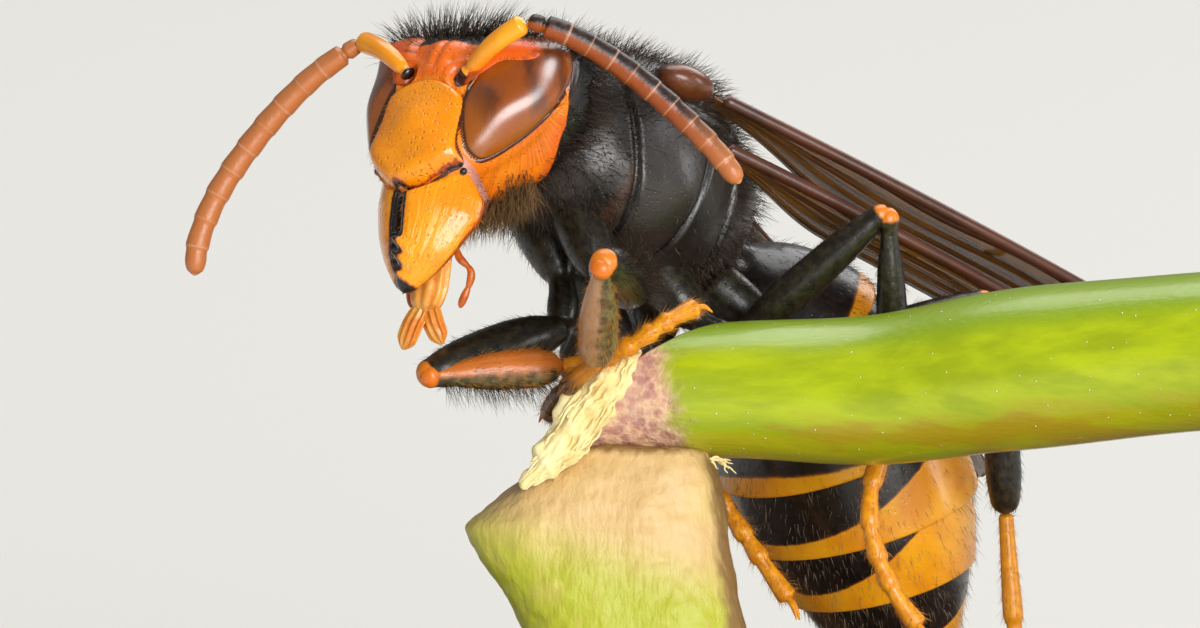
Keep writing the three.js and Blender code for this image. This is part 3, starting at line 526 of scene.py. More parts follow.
def eyeFinish():
    finish = Finish("eye_glass", {
        "Coat Weight": 1.0, "Coat IOR": 1.7, "Coat Roughness": 0.24, "Specular IOR Level": 0.2})
    patch = finish.cloud(1.4, 3, finish.stretched((1.4, 1, 0.6)))
    colour = finish.colour(patch.between(0.4, 0.68), "944602", "5a2802")
    colour = finish.colour(finish.mark("low").between(0.1, 0.9), colour, "9c5206")
    colour = finish.colour(finish.mark("rim").between(0.3, 0.9), colour, "160a03")
    facets, dust = finish.cells(34), finish.holes(6, 0.16)
    return finish.done(colour, 0.22 + patch * 0.1, facets * 0.003 + dust * 0.008)


def antennaFinish():
    finish = Finish("antenna_cuticle", {"Coat Weight": 0.15, "Coat Roughness": 0.25})
    fine = finish.cloud(8, 4)
    colour = finish.colour(finish.mark("back").between(0.2, 0.6), "96440a", "22100a")
    colour = finish.colour(finish.mark("pale"), colour, "cf7f45")
    colour = finish.colour(finish.mark("ring").between(0.35, 0.8) * 0.55, colour, "d0a080")
    colour = finish.colour((fine - 0.5) * 0.3, colour, "d07a30")
    return finish.done(colour, 0.42 + (fine - 0.5) * 0.2, fine * 0.008 + finish.cells(16) * 0.004)


def scapeFinish():
    finish = Finish("scape_cuticle", {"Coat Weight": 0.4, "Coat Roughness": 0.12})
    fine = finish.cloud(7, 3)
    colour = finish.colour(finish.cloud(1, 2).between(0.4, 0.6), "ee9412", "f9a81e")
    colour = finish.colour(finish.mark("back").between(0.3, 0.8), colour, "4a2008")
    colour = finish.colour(finish.mark("dark").between(0.4, 0.7), colour, "241008")
    return finish.done(colour, 0.3 + (fine - 0.5) * 0.1, fine * 0.005)


def legFinish(name, dark, pale_side_and_painted_shadow, knee):
    # dark cuticle with a second tone on a marked side, which is a lighter side on the tibiae and painted
    # shadow on the fore-left foot, and an orange knee
    finish = Finish(name, {"Coat Weight": 0.2, "Coat Roughness": 0.2})
    fine = finish.cloud(6, 4)
    colour = finish.colour(fine.between(0.35, 0.7), *dark)
    colour = finish.colour((finish.mark("pale_side_and_painted_shadow") + (fine - 0.5) * 0.9).between(0.15, 0.95), colour, pale_side_and_painted_shadow)
    colour = finish.colour((finish.mark("knee") + (fine - 0.5) * 0.3).between(0.3, 0.7), colour, knee)
    return finish.done(colour, 0.38 + (fine - 0.5) * 0.2, fine * 0.012 - finish.holes(8, 0.3) * 0.006)


def gasterFinish():
    finish = Finish("gaster_cuticle", {"Coat Weight": 0.3, "Coat Roughness": 0.15})
    fine, band = finish.cloud(5, 4), finish.mark("band")
    dark = finish.colour(fine.between(0.35, 0.7), "0e0a08", "241710")
    yellow = finish.colour(finish.cloud(1, 3).between(0.35, 0.65), "e89006", "f7ab12")
    colour = finish.colour((band + (fine - 0.5) * 0.3).between(0.25, 0.5), dark, "7a3c0a")
    colour = finish.colour((band + (fine - 0.5) * 0.25).between(0.4, 0.6), colour, yellow)
    return finish.done(colour, 0.36 + (fine - 0.5) * 0.2, fine * 0.01 - finish.holes(7, 0.3) * 0.008)


def stemFinish():
    finish = Finish("stem_skin", {"Coat Weight": 0.4, "Coat Roughness": 0.16})
    streak = finish.cloud(1.0, 4, finish.stretched((0.25, 2.2, 2.2)))
    fine = finish.cloud(7, 4, finish.stretched((0.5, 1.4, 1.4)))
    under = finish.mark("under")
    colour = finish.colour(streak.between(0.3, 0.7), "96a800", "b3c306")
    colour = finish.colour(finish.mark("top").between(0.2, 1.0), colour, "86a200")
    brown = (under + (streak - 0.5) * 1.6).between(0.5, 1.0)
    colour = finish.colour(brown * 0.55, colour, "a08c14")
    blotch = (finish.cloud(0.9, 2, finish.stretched((0.5, 1, 1.6))) + under * 0.2).between(0.68, 0.8)
    colour = finish.colour(blotch * 0.45, colour, "a8741a")
    scar = (finish.mark("scar") + (finish.cloud(2.2, 5) - 0.5) * 1.1).between(0.25, 0.95)
    flesh = finish.colour(finish.cloud(2.4, 4).between(0.4, 0.62), "d6a884", "b57e74")
    flesh = finish.colour(finish.cells(5).between(0.35, 0.75) * 0.4, flesh, "f0d2ac")
    colour = finish.colour(finish.mark("cut"), finish.colour(scar, colour, flesh), "d3d98c")
    # painted glints: small raised specks are painted near white
    glintSpeck = 1 - finish.cells(3.4).between(0.04, 0.09)
    colour = finish.colour(glintSpeck, colour, "f4f4d8")
    return finish.done(colour, 0.34 + scar * 0.25 + (fine - 0.5) * 0.1,
                       fine * 0.012 + scar * finish.cloud(6, 5) * 0.1 + glintSpeck * 0.02)


def fibreFinish():
    finish = Finish("torn_fibre", {"Sheen Weight": 0.2})
    patch, fine = finish.cloud(1.6, 5), finish.cloud(9, 4)
    colour = finish.colour(patch.between(0.35, 0.65), "f6e6a8", "e9cf86")
    colour = finish.colour(fine.between(0.55, 0.75) * 0.6, colour, "fff6d0")
    return finish.done(colour, 0.7, patch * 0.05 + fine * 0.015)


def stubFinish():
    finish = Finish("stub_skin", {"Coat Weight": 0.1, "Coat Roughness": 0.3})
    fine = finish.cloud(5, 5, finish.stretched((1.2, 1.2, 0.35)))
    colour = finish.colour(finish.mark("low").between(0.05, 0.95), "d8b478", "b2b626")
    colour = finish.colour(finish.cloud(0.55, 3).between(0.5, 0.7) * 0.6, colour, "d8c070")
    colour = finish.colour((finish.mark("rim") + (fine - 0.5) * 0.7).between(0.35, 0.85), colour, "8e6c3a")
    colour = finish.colour(fine.between(0.55, 0.75) * 0.35, colour, "c49a58")
    return finish.done(colour, 0.5 + (fine - 0.5) * 0.3, fine * 0.05 + finish.cloud(14, 3) * 0.01)


def wingFinish(name, tones, clear, roughness):
    finish = Finish(name, {"Coat Weight": 0.3, "Coat Roughness": 0.2})
    patch, fine = finish.cloud(0.5, 3), finish.cloud(6, 4)
    if clear:
        finish.set("Alpha", 1 - clear + (patch - 0.5) * 0.15)
    colour = finish.colour(patch.between(0.3, 0.7), *tones)
    return finish.done(colour, roughness + (fine - 0.5) * 0.1, fine * 0.01)


def woodFinish():
    finish = Finish("walnut", {"Coat Weight": 0.2, "Coat Roughness": 0.25})
    grain = finish.cloud(1.3, 6, finish.stretched((0.08, 1.1, 1.1)))
    pore = finish.cloud(6, 3, finish.stretched((0.08, 1.6, 1.6))).between(0.6, 0.75)
    colour = finish.colour(pore, finish.colour(grain.between(0.3, 0.7), "2e1c12", "5c3c26"), "1c100a")
    return finish.done(colour, 0.4 + (grain - 0.5) * 0.2, grain * 0.03 - pore * 0.03)


def steelFinish():
    finish = Finish("rod_steel", {"Metallic": 1.0})
    line = finish.cloud(8, 3, finish.stretched((3, 3, 0.05)))
    return finish.done(finish.colour(line, "9a9a98", "c4c4c0"), 0.28 + line * 0.14, line * 0.004)


print("finishes made")

# Head: one shell from the outline of its middle, seen from the left as [rearward, upward]
head = {
    "outline": [
        (0.25, 1.66), (-0.4, 1.56), (-0.88, 1.22), (-1.1, 0.6), (-1.25, 0.05), (-1.45, -0.75),
        (-1.55, -1.45), (-1.4, -2.05), (-0.6, -2.12), (0.35, -2.1), (1.2, -1.5), (1.5, -0.4), (1.4, 0.8),
        (1.0, 1.42)],
    "halfWide": 2.5, "halfWideLow": 1.85, "sideShift": (0.4, 0.34),
    "frontRoundness": 0.8, "rearRoundness": 0.5, "topRoundness": 0.3, "sides": 220, "rings": 150,
    # the antenna's socket as [out, rearward, up], with its depth and its raised rim
    "socket": (0.74, -1.0, 0.47), "socketDepth": 0.14, "socketRim": 0.05,
    "brow": 0.12, "browLine": 0.05, "browDimple": 0.05, "grooveWide": 0.035,
}
eye = {
    "facing": (0.78, -0.62), "centre": (0.82, 0.3),
    "raised": 0.13, "thick": 0.35, "sunk": 0.16, "ridge": 0.03,
    "outline": [
        (0.28, -1.32), (-0.02, -1.16), (-0.19, -0.76), (-0.26, -0.25), (-0.2, 0.2), (0.02, 0.75),
        (0.3, 1.35), (0.66, 1.85), (1.2, 2.0), (1.6, 1.6), (1.8, 1.2), (1.83, 0.8), (1.69, 0.33),
        (1.47, -0.1), (1.05, -0.67), (0.52, -1.2)],
    # the orange lobe that fills the eye's notch, and where the black at the rear of the head begins
    "lobe": [
        (-0.29, 0.16), (-0.03, 0.53), (0.31, 0.85), (0.7, 0.92), (0.95, 0.99), (1.06, 1.09), (1.07, 1.22),
        (0.97, 1.33), (0.83, 1.41), (0.63, 1.47), (0.35, 1.5), (0.05, 1.4), (-0.25, 0.9)],
    "lobeCentre": (0.4, 1.15), "lobeRaised": 0.2, "lobeThick": 0.3, "blackFrom": 1.94,
}
clypeus = {
    "raised": 0.12, "thick": 0.2, "sunkHigh": 0.06, "sunkLow": 0.14, "centre": (0, -0.9),
    "outline": [
        (0, 0.38), (0.35, 0.32), (0.73, 0.16), (0.97, -0.02), (1.06, -0.27), (1.1, -0.66), (1.13, -1.03),
        (1.24, -1.45), (1.05, -1.63), (0.86, -1.8), (0.5, -2.06), (0.22, -2.13), (0, -2.02)],
    # the pale skin between cheek and jaw, and the dark joints at its ends, in the head's frame
    "strip": [(1.24, -1.05, -1.4), (1.27, -0.7, -1.56), (1.07, -0.15, -1.74), (0.75, 0.59, -1.88)],
    "stripSunk": 0.05, "joints": [(1.2, -0.9, -1.57), (0.72, 0.5, -1.93)], "jointRadius": 0.085,
    "backUnder": -1.04,
}
headLine = Course([(y, z, 0) for y, z in head["outline"]], closed=True)


def headPoint(side, around):
    rim = headLine.through(around)
    rear = smooth(-0.6, 0.8, rim.x)
    top = smooth(0.9, 1.5, rim.y)
    level = mixed(head["frontRoundness"], head["rearRoundness"], rear)
    inner = math.cos(side)
    shrink = max(inner, 0) ** mixed(level, head["topRoundness"], top)
    low = smooth(0, 2, -rim.y) * math.sqrt(max(inner, 0))
    wide = mixed(head["halfWide"], head["halfWideLow"], low)
    rearward, upward = (shift * math.sin(side) ** 2 for shift in head["sideShift"])
    return Vector((wide * math.sin(side), rim.x * shrink + rearward, rim.y * shrink + upward))


def headForm(sides, rings):
    mesh = ballOf(sides, rings)
    around = layersOf(mesh, "around")[0]
    for vert in mesh.verts:
        side = math.asin(max(-1, min(1, vert.co.z)))
        vert.co = headPoint(side, vert[around])
    return mesh


class View2D:
    # a flat view of the head along a direction: its two axes, and the smooth depth of the head's skin there
    def __init__(self, facing, tree, reach, centre):
        self.facing = Vector((*facing, 0)).normalized()
        self.across = Vector((-self.facing.y, self.facing.x, 0))
        self.up = Vector((0, 0, 1))
        self.centre = centre
        rows, depths = [], []
        for a in np.linspace(-reach, reach, 40):
            for b in np.linspace(-reach, reach, 40):
                start = self.flat(centre[0] + a, centre[1] + b) + self.facing * 6
                found = tree.ray_cast(start, -self.facing)[0]
                if found and a * a + b * b < reach * reach:
                    rows.append(self.terms(a, b))
                    depths.append(found.dot(self.facing))
        self.weights = np.linalg.lstsq(np.array(rows), np.array(depths), rcond=None)[0]

    def terms(self, a, b):
        return [a ** i * b ** j for i in range(7) for j in range(7 - i)]

    def flat(self, a, b):
        return self.across * a + self.up * b

    def seen(self, point):
        return point.dot(self.across), point.z

    def lifted(self, a, b, height):
        depth = float(np.dot(self.terms(a - self.centre[0], b - self.centre[1]), self.weights))
        return self.flat(a, b) + self.facing * (depth + height)


def lens(view, outline, centre, rise, sunk, sides=120, rings=24):
    # a plate of an outline laid on the head, raised by rise(share from the centre to the rim)
    line = Course([(x, y, 0) for x, y in outline], closed=True)
    rim = [line.at(i / 480) for i in range(480)]
    angles = np.array([math.atan2(p.y - centre[1], p.x - centre[0]) for p in rim])
    reach = np.array([math.hypot(p.y - centre[1], p.x - centre[0]) for p in rim])
    order = np.argsort(angles)
    angles, reach = angles[order], reach[order]
    mesh = ballOf(sides, rings * 2 - 1)
    around, along, shareLayer = layersOf(mesh, "around", "along", "share")
    for vert in mesh.verts:
        angle = (vert[around] * 2 * math.pi + math.pi) % (2 * math.pi) - math.pi
        far = float(np.interp(angle, angles, reach, period=2 * math.pi))
        share = 1 - abs(2 * vert[along] - 1)
        top = vert[along] < 0.5
        a, b = centre[0] + math.cos(angle) * far * share, centre[1] + math.sin(angle) * far * share
        vert.co = view.lifted(a, b, rise(share) if top else -sunk)
        vert[shareLayer] = share
    return mesh


def insideOf(outline):
    # the distance of flat points from an outline, negative inside
    line = Course([(x, y, 0) for x, y in outline], closed=True)
    rim = np.array([line.at(i / 160)[:2] for i in range(160)])
    after = np.roll(rim, -1, 0)

    def distance(a, b):
        spot = np.array([a, b])
        step = after - rim
        share = np.clip(((spot - rim) * step).sum(1) / (step ** 2).sum(1), 0, 1)
        near = np.sqrt((((rim + step * share[:, None]) - spot) ** 2).sum(1).min())
        crossed = ((rim[:, 1] > b) != (after[:, 1] > b)) & (
            a < step[:, 0] * (b - rim[:, 1]) / np.where(step[:, 1] == 0, 1e-9, step[:, 1]) + rim[:, 0])
        return -near if crossed.sum() % 2 else near
    return distance


bare = headForm(120, 80)
headTree = BVHTree.FromBMesh(bare)
bare.free()
eyeView = View2D(eye["facing"], headTree, 1.85, eye["centre"])
faceView = View2D((0, -1), headTree, 1.6, clypeus["centre"])
eyeEdge = insideOf(eye["outline"])
plateLine = clypeus["outline"] + [(-x, y) for x, y in clypeus["outline"][-2:0:-1]]
plateEdge = insideOf(plateLine)
print("head measured")


def headShell():
    mesh = headForm(head["sides"], head["rings"])
    names = ("red", "black", "membrane", "groove", "cheek", "edge")
    red, black, membrane, groove, cheek, edge = layersOf(mesh, *names)
    strip = Course(clypeus["strip"])
    stripPoints = [strip.at(i / 30) for i in range(31)]
    out, _, up = head["socket"]

    def shape(point, vert):
        x, y, z = point
        half = abs(x)
        here = Vector((half, y, z))
        sideways, upward = eyeView.seen(here)
        push = 0.0
        if half * eyeView.facing.x + y * eyeView.facing.y > 0.3:
            far = eyeEdge(sideways, upward)
            rear = smooth(0.2, 0.7, sideways)
            push += eye["ridge"] * rear * bell(far, 0.13, 0.09) - eye["sunk"] * smooth(-0.02, -0.1, far)
            vert[groove] = bell(far, 0.0, head["grooveWide"])
            vert[cheek] = smooth(0.0, 0.05, far) * rear * smooth(0.9, 0.5, far)
            vert[edge] = 1.6 * math.atan2(upward - eye["centre"][1], sideways - eye["centre"][0])
        if y < -0.3 and half < 1.6:
            far = plateEdge(-x, z)
            low = smooth(0.3, -0.2, z)
            push -= smooth(-0.02, -0.09, far) * mixed(clypeus["sunkHigh"], clypeus["sunkLow"], low)
            line = bell(far, 0.0, head["grooveWide"]) * mixed(0.3, 0.9, low)
            near = math.hypot(half - out, z - up)
            push += head["socketRim"] * bell(near, 0.34, 0.07) - head["socketDepth"] * smooth(0.3, 0.16, near)
            vert[groove] = max(vert[groove], line, smooth(0.25, 0.18, near))
            brow = smooth(0.6, 0.15, half) * smooth(0.2, 0.6, z) * smooth(1.45, 1.1, z)
            push += head["brow"] * brow - head["browLine"] * bell(half, 0, 0.06) * smooth(0.5, 0.7, z)
            push -= head["browDimple"] * bell(math.hypot(half - 0.33, z - 0.83), 0, 0.07)
        rearCheek = smooth(1.45, 1.85, sideways) * smooth(0.6, -0.2, z)
        underCheek = smooth(-1.3, -1.8, z) * smooth(0.3, 1.0, half) * 0.6
        forehead = 0.7 * smooth(0.25, 0.5, z) * smooth(0.6, -0.2, y)
        vert[red] = max(forehead, 0.65 * (rearCheek + underCheek))
        start = eye["blackFrom"] - 0.16 * smooth(0.1, 0.6, z)
        behind = smooth(-0.07, 0.07, sideways - start + 0.06 * noise.noise(here * 3))
        crown = smooth(1.28, 1.42, z + 0.1 * half - 0.25 * min(0, y + 0.6))
        vert[black] = max(behind if y > -0.2 else 0, crown)
        if z < -1.2 and half > 0.9:
            near = min((spot - here).length for spot in stripPoints)
            vert[membrane] = smooth(0.14, 0.07, near)
            vert[black] *= smooth(0.1, 0.2, near)
            push -= clypeus["stripSunk"] * bell(near, 0.0, 0.09)
        vert[cheek] *= 1 - vert[black]
        return push

    return pushed(mesh, shape)


headMesh = headShell()


def crownLie(places):
    x, y, z = places.T
    return np.stack([0.3 * x, 0.35 + 0 * y, -0.1 * z], 1)


def crownWanted(places, normals):
    _, y, z = places.T
    return smooth(1.05, 1.5, z) * smooth(-1.0, -0.5, y) + 0.5 * smooth(0.5, 1.0, y) * smooth(-1.6, 0, z)


def faceWanted(places, normals):
    x, y, z = places.T
    return (y < 0.9) * (z < 1.3) * (np.hypot(abs(x) - 1.75, z - 0.6) > 1.15) * 1.0


def beardWanted(places, normals):
    _, y, z = places.T
    return smooth(-1.0, -1.5, z) * smooth(0.0, 0.5, y)


coat("hair_crown", headMesh, headPlace, hairDark, "head_orange",
     {"count": 4200, "length": 0.78, "radius": 0.009, "rise": 0.72, "spread": 0.22, "droop": 0.5},
     crownWanted, crownLie, 11)
coat("hair_face", headMesh, headPlace, hairGold, "head_orange",
     {"count": 2600, "length": 0.13, "radius": 0.005, "rise": 0.4, "spread": 0.15, "droop": 0.2, "rings": 2},
     faceWanted, steady((0, 0.2, -1)), 12)
coat("hair_beard", headMesh, headPlace, hairBrown, "head_orange",
     {"count": 2600, "length": 0.75, "radius": 0.009, "rise": 0.6, "spread": 0.25, "droop": 0.2},
     beardWanted, steady((0, 0.3, -1)), 13)
piece("head_shell", headMesh, headPlace, headFinish, "head_orange", "head")

sidesNamed = ((1, "left"), (-1, "right"))
for side, name in sidesNamed:
    ball = lens(eyeView, eye["outline"], eye["centre"],
                lambda r: 0.02 + eye["raised"] * math.sqrt(max(0, 1 - r ** 3.4)), eye["thick"], 160, 30)
    share = layersOf(ball, "share")[0]
    marked(ball, "rim", lambda p, v: smooth(0.94, 0.98, v[share]))
    marked(ball, "low", lambda p, v: smooth(1.2, -1.2, p.z) * smooth(0.2, 0.95, v[share]))
    lobe = lens(eyeView, eye["lobe"], eye["lobeCentre"],
                lambda r: eye["lobeRaised"] - 0.03 * r ** 4, eye["lobeThick"], 96, 18)
    around, lobeShare = layersOf(lobe, "around", "share")
    marked(lobe, "edge", lambda p, v: 2.2 * v[around])
    marked(lobe, "cheek", lambda p, v: smooth(0.45, 0.85, v[lobeShare]))
    if side < 0:
        ball, lobe = (mirroredOver(form) for form in (ball, lobe))
    piece(f"eye_{name}_lens", ball, headPlace, eyeFinish(), "eye", f"eye_{name}")
    piece(f"eye_{name}_lobe", lobe, headPlace, lobeFinish, "head_orange")

plate = lens(faceView, plateLine, clypeus["centre"],
             lambda r: 0.02 + clypeus["raised"] * max(0, 1 - r ** 5) ** 0.5, clypeus["thick"], 180, 36)
inside = {vert.index: -plateEdge(-vert.co.x, vert.co.z) for vert in plate.verts}
marked(plate, "rim", lambda p, v: smooth(0.1, 0.03, inside[v.index]) * smooth(-1.3, -1.5, p.z))
marked(plate, "warm", lambda p, v: 0.8 * smooth(0.15, 0.06, inside[v.index]) * smooth(-1.2, -1.5, p.z))
marked(plate, "groove", lambda p, v: smooth(0.04, 0.0, inside[v.index]) * smooth(0.3, -0.2, p.z))
rim = layersOf(plate, "rim")[0]
pushed(plate, lambda p, v: (0.03 + 0.025 * noise.noise(p * 11)) * v[rim])
coat("hair_clypeus", plate, headPlace, hairGold, "head_orange",
     {"count": 900, "length": 0.14, "radius": 0.005, "rise": 0.5, "spread": 0.2, "droop": 0.2, "rings": 2},
     lambda p, n: (n[:, 1] < -0.2) * 1.0, steady((0, 0.2, -1)), 14)
piece("clypeus_plate", plate, headPlace, clypeusFinish, "head_orange", "clypeus")
for side, name in sidesNamed:
    knobs = [sized(ballOf(24, 14), (clypeus["jointRadius"],) * 3, (x * side, y, z))
             for x, y, z in clypeus["joints"]]
    piece(f"jaw_joints_{name}", together(*knobs), headPlace, blackFinish, "head_orange")
print("head made")

# Jaws: rows are [share, inner half width, outer half width, half thickness]
jaw = {
    "root": (0.84, -0.7, -1.35), "bend": (0.8, -0.98, -3.1), "tip": (0.3, -0.98, -4.25),
    "across": (0.73, 0.68, 0),
    "rows": [
        (0, 0.75, 0.2, 0.3), (0.08, 0.84, 0.36, 0.33), (0.16, 0.9, 0.6, 0.34), (0.26, 0.93, 0.82, 0.36),
        (0.34, 0.9, 0.82, 0.36), (0.48, 0.8, 0.68, 0.32), (0.65, 0.64, 0.52, 0.28), (0.8, 0.44, 0.38, 0.26),
        (0.9, 0.3, 0.26, 0.23), (1, 0.2, 0.14, 0.15)],
    "teeth": [(0.7, 0.2, 0.035), (0.79, 0.2, 0.028), (0.89, 0.14, 0.022)],
    "rightTilt": 12, "rightShift": (0.04, 0.1, 0.25),
}


def jawForm():
    course = Course([jaw["root"], jaw["bend"], jaw["tip"]])
    rows = []
    for i in range(60):
        at = i / 59
        inner, outer, thick = eased(jaw["rows"], at)
        inner += sum(high * bell(at, place, wide) for place, high, wide in jaw["teeth"])
        rows.append((at, inner, outer, thick, thick))
    mesh = carried(course, rows, 72, 120, jaw["across"], 2.3, (0.15, 0.2))
    around, along = layersOf(mesh, "around", "along")
    for vert in mesh.verts:
        under = smooth(0.1, -0.14, plateEdge(-vert.co.x, vert.co.z))
        vert.co.y += under * max(0, clypeus["backUnder"] - vert.co.y)

    def black(point, vert):
        inward = -math.cos(vert[around] * 2 * math.pi)  # 1 on the toothed edge
        tip = smooth(0.82, 0.92, vert[along])
        toothed = smooth(mixed(0.88, 0.5, smooth(0.6, 0.75, vert[along])), 0.96, inward)
        return max(tip, toothed * smooth(0.1, 0.16, vert[along]), smooth(0.8, 0.97, -inward) * 0.45)

    marked(mesh, "black", black)
    return pushed(mesh, lambda p, v: 0.04 * bell(v[around], 0.2, 0.04) - 0.05 * bell(v[around], 0.14, 0.03))


jawFinished = jawFinish()
leftJaw = jawForm()
tilt = turned(jaw["rightTilt"], "X")
rootLeft, rootRear, rootUp = jaw["root"]
rightRoot = Vector((-rootLeft, rootRear, rootUp))
shift = rightRoot - tilt @ rightRoot + Vector(jaw["rightShift"])
rightJaw = mirroredOver(leftJaw)
rightJaw.transform(Matrix.Translation(shift) @ tilt)
coat("hair_jaws", leftJaw, headPlace, hairGold, "head_orange",
     {"count": 500, "length": 0.16, "radius": 0.005, "rise": 0.6, "spread": 0.2, "droop": 0.2, "rings": 2},
     lambda p, n: smooth(-4.0, -3.6, p[:, 2]) * smooth(-1.8, -2.3, p[:, 2]), steady((0, 0, -1)), 15)
piece("jaw_left", leftJaw, headPlace, jawFinished, "head_orange", "mandible_left")
piece("jaw_right", rightJaw, headPlace, jawFinished, "head_orange", "mandible_right")

# Tongue and palps
tongue = {
    "path": [(0, -0.1, -2.1), (0.02, 0.05, -3.4), (0.02, 0.1, -4.4)],
    "rows": [(0, 0.35, 0.3), (0.4, 0.4, 0.28), (0.75, 0.46, 0.26), (1, 0.3, 0.2)],
    "lobes": [(-0.42, 0.12, -5.15), (0.42, 0.4, -4.95)],
    "lobeRows": [(0, 0.16, 0.12), (0.4, 0.25, 0.12), (0.75, 0.25, 0.1), (1, 0.12, 0.06)], "flutes": 9,
    "fluteDeep": 0.03,
    "palp": [(0.45, 0.05, -2.5), (0.62, 0.1, -3.1), (0.88, 0.3, -3.4), (0.68, 0.4, -4.15)],
    "palpRadius": 0.075, "palpJoints": 4,
}


def tongueFinish(name, tones):
    finish = Finish(name, {"Subsurface Weight": 0.25, "Subsurface Scale": 0.0004, "Coat Weight": 0.3})
    fine, patch = finish.cloud(5, 4), finish.cloud(1.5, 3)
    colour = finish.colour(patch.between(0.35, 0.65), *tones[:2])
    colour = finish.colour(fine.between(0.55, 0.75) * 0.5, colour, tones[2])
    return finish.done(colour, 0.35 + (fine - 0.5) * 0.2, patch * 0.03 + fine * 0.03)


def fluted(form):
    around, along = layersOf(form, "around", "along")

    def depth(point, vert):
        wave = math.sin(2 * math.pi * tongue["flutes"] * vert[around])
        return tongue["fluteDeep"] * wave * math.sin(math.pi * vert[along])

    return pushed(form, depth)


tongueFinished = tongueFinish("tongue_membrane", ("e07e1c", "f2a848", "b5560e"))
palpFinished = tongueFinish("palp_cuticle", ("a8480c", "cc6a1c", "6e2a08"))
trunk = fluted(carried(Course(tongue["path"]), tongue["rows"], 90, 50, (1, 0, 0)))
fork = Course(tongue["path"]).at(0.86)
lobes = [fluted(carried(Course([fork, fork.lerp(Vector(tip), 0.5) + Vector((0, -0.06, 0)), tip]),
                        tongue["lobeRows"], 90, 40, (1, 0, 0), ends=(0.2, 0.25))) for tip in tongue["lobes"]]
piece("tongue", together(trunk, *lobes), headPlace, tongueFinished, "mouthparts", "labium")
for side, name in sidesNamed:
    palpLine = Course([(x * side, y, z) for x, y, z in tongue["palp"]])
    rows = []
    for i in range(25):
        joint = (i / 24 * tongue["palpJoints"]) % 1
        rows.append((i / 24, tongue["palpRadius"] * (0.75 + 0.4 * math.sin(math.pi * joint))))
    piece(f"palp_{name}_joints", carried(palpLine, rows, 16, 60, (1, 0, 0), ends=(0.1, 0.12)), headPlace,
          palpFinished, "mouthparts", f"palp_{name}")
print("mouth made")

# Feelers, in the specimen's frame
feeler = {
    "scapeRadius": 0.21, "pedicelRadius": 0.17, "flagellumRadius": 0.27,
    "scapeRows": [(0, 0.62), (0.06, 0.8), (0.12, 0.6), (0.2, 0.8), (0.6, 1), (0.92, 1.08), (1, 0.9)],
    "joints": 10, "sides": 36, "rings": 150,
    "left": {
        "scapeEnd": (-1.56, -1.85, 6.08),
        "run": [(-1.5, -1.86, 6.12), (-0.62, -1.8, 5.8), (0.4, -1.7, 5.2), (1.55, -1.65, 4.25),
                (2.4, -1.7, 3.4), (2.92, -1.8, 2.72)]},
    "right": {
        "scapeEnd": (-4.98, 1.2, 5.72),
        "run": [(-5.02, 1.2, 5.68), (-6.03, 1.4, 4.95), (-7.12, 1.55, 3.8), (-8.02, 1.6, 2.5),
                (-8.42, 1.55, 1.5), (-8.5, 1.5, 0.8)]},
}
antennaFinished, scapeFinished = antennaFinish(), scapeFinish()
headStand = standing(headPose)
for side, name in sidesNamed:
    x, y, z = head["socket"]
    root = headStand @ Vector((x * side, y, z))
    end = Vector(feeler[name]["scapeEnd"])
    bend = root.lerp(end, 0.5) + Vector((0, -0.12, 0.12))
    scape = carried(Course([root, bend, end]), scaledRows(feeler["scapeRows"], feeler["scapeRadius"]),
                    32, 70, ends=(0.1, 0.12))
    along = layersOf(scape, "along")[0]
    scape.normal_update()
    marked(scape, "dark", lambda p, v: smooth(0.16, 0.1, v[along]))
    marked(scape, "back", lambda p, v: smooth(0.2, 0.9, v.normal.y + 0.3 * v.normal.z))
    piece(f"scape_{name}", scape, whole, scapeFinished, "antenna", f"antenna_{name}_scape")

    joints, radius, thin = feeler["joints"], feeler["flagellumRadius"], feeler["pedicelRadius"]
    rows = [(0, 0.09), (0.018, thin), (0.05, thin * 1.1), (0.065, 0.13)]
    share = 0.935 / joints
    for i in range(joints):
        thick = radius * (0.9 + 0.1 * math.sin(math.pi * (i + 1) / joints))
        start = 0.065 + i * share
        rows += [(start + 0.1 * share, thick * 0.92), (start + 0.6 * share, thick * 0.97),
                 (start + 0.9 * share, thick)]
    rows += [(0.985, radius * 0.8), (1, radius * 0.55)]
    flagellum = carried(Course(feeler[name]["run"]), rows, feeler["sides"], feeler["rings"], ends=(0.05, 0.4))
    along = layersOf(flagellum, "along")[0]
    # along counts rings, and the marks need the share of the length
    shares, last = ringShares(feeler["rings"]), feeler["rings"] - 1
    truly = lambda v: shares[min(last, round(v[along] * last))]
    flagellum.normal_update()
    marked(flagellum, "ring", lambda p, v: (
        bell(((truly(v) - 0.065) / share) % 1, 0.97, 0.06) * (truly(v) > 0.1)))
    marked(flagellum, "back", lambda p, v: (
        smooth(-0.5, 0.6, v.normal.z + 0.3 * v.normal.x) * (1 - 0.5 * truly(v))))
    marked(flagellum, "pale", lambda p, v: 0.7 if name == "right" else 0.7 * smooth(0.6, 1, truly(v)))
    piece(f"flagellum_{name}", flagellum, whole, antennaFinished, "antenna", f"antenna_{name}_flagellum")
print("feelers made")

# Thorax: rows are [rearward, half width, height above, depth below]
thorax = {
    "rows": [
        (-3.25, 0.75, 0.75, 0.7), (-3.1, 1.1, 1.05, 0.95), (-2.6, 1.65, 1.6, 1.45), (-1.9, 2.05, 2.05, 1.85),
        (-1.0, 2.25, 2.35, 2.15), (0, 2.32, 2.42, 2.28), (0.9, 2.25, 2.3, 2.3), (1.6, 2.05, 1.85, 2.15),
        (2.2, 1.8, 1.2, 1.9), (2.75, 1.4, 0.5, 1.6), (3.1, 0.95, 0, 1.3)],
    "squareness": 2.3, "sides": 200, "rings": 170,
    # grooves as [rearward at the middle height, lean, from height, to height, depth]
    "grooves": [(-1.5, -0.3, -3, 3, 0.13), (1.45, -0.12, -3, 3, 0.13), (0.35, 0.1, -3, 1.1, 0.1)],
}


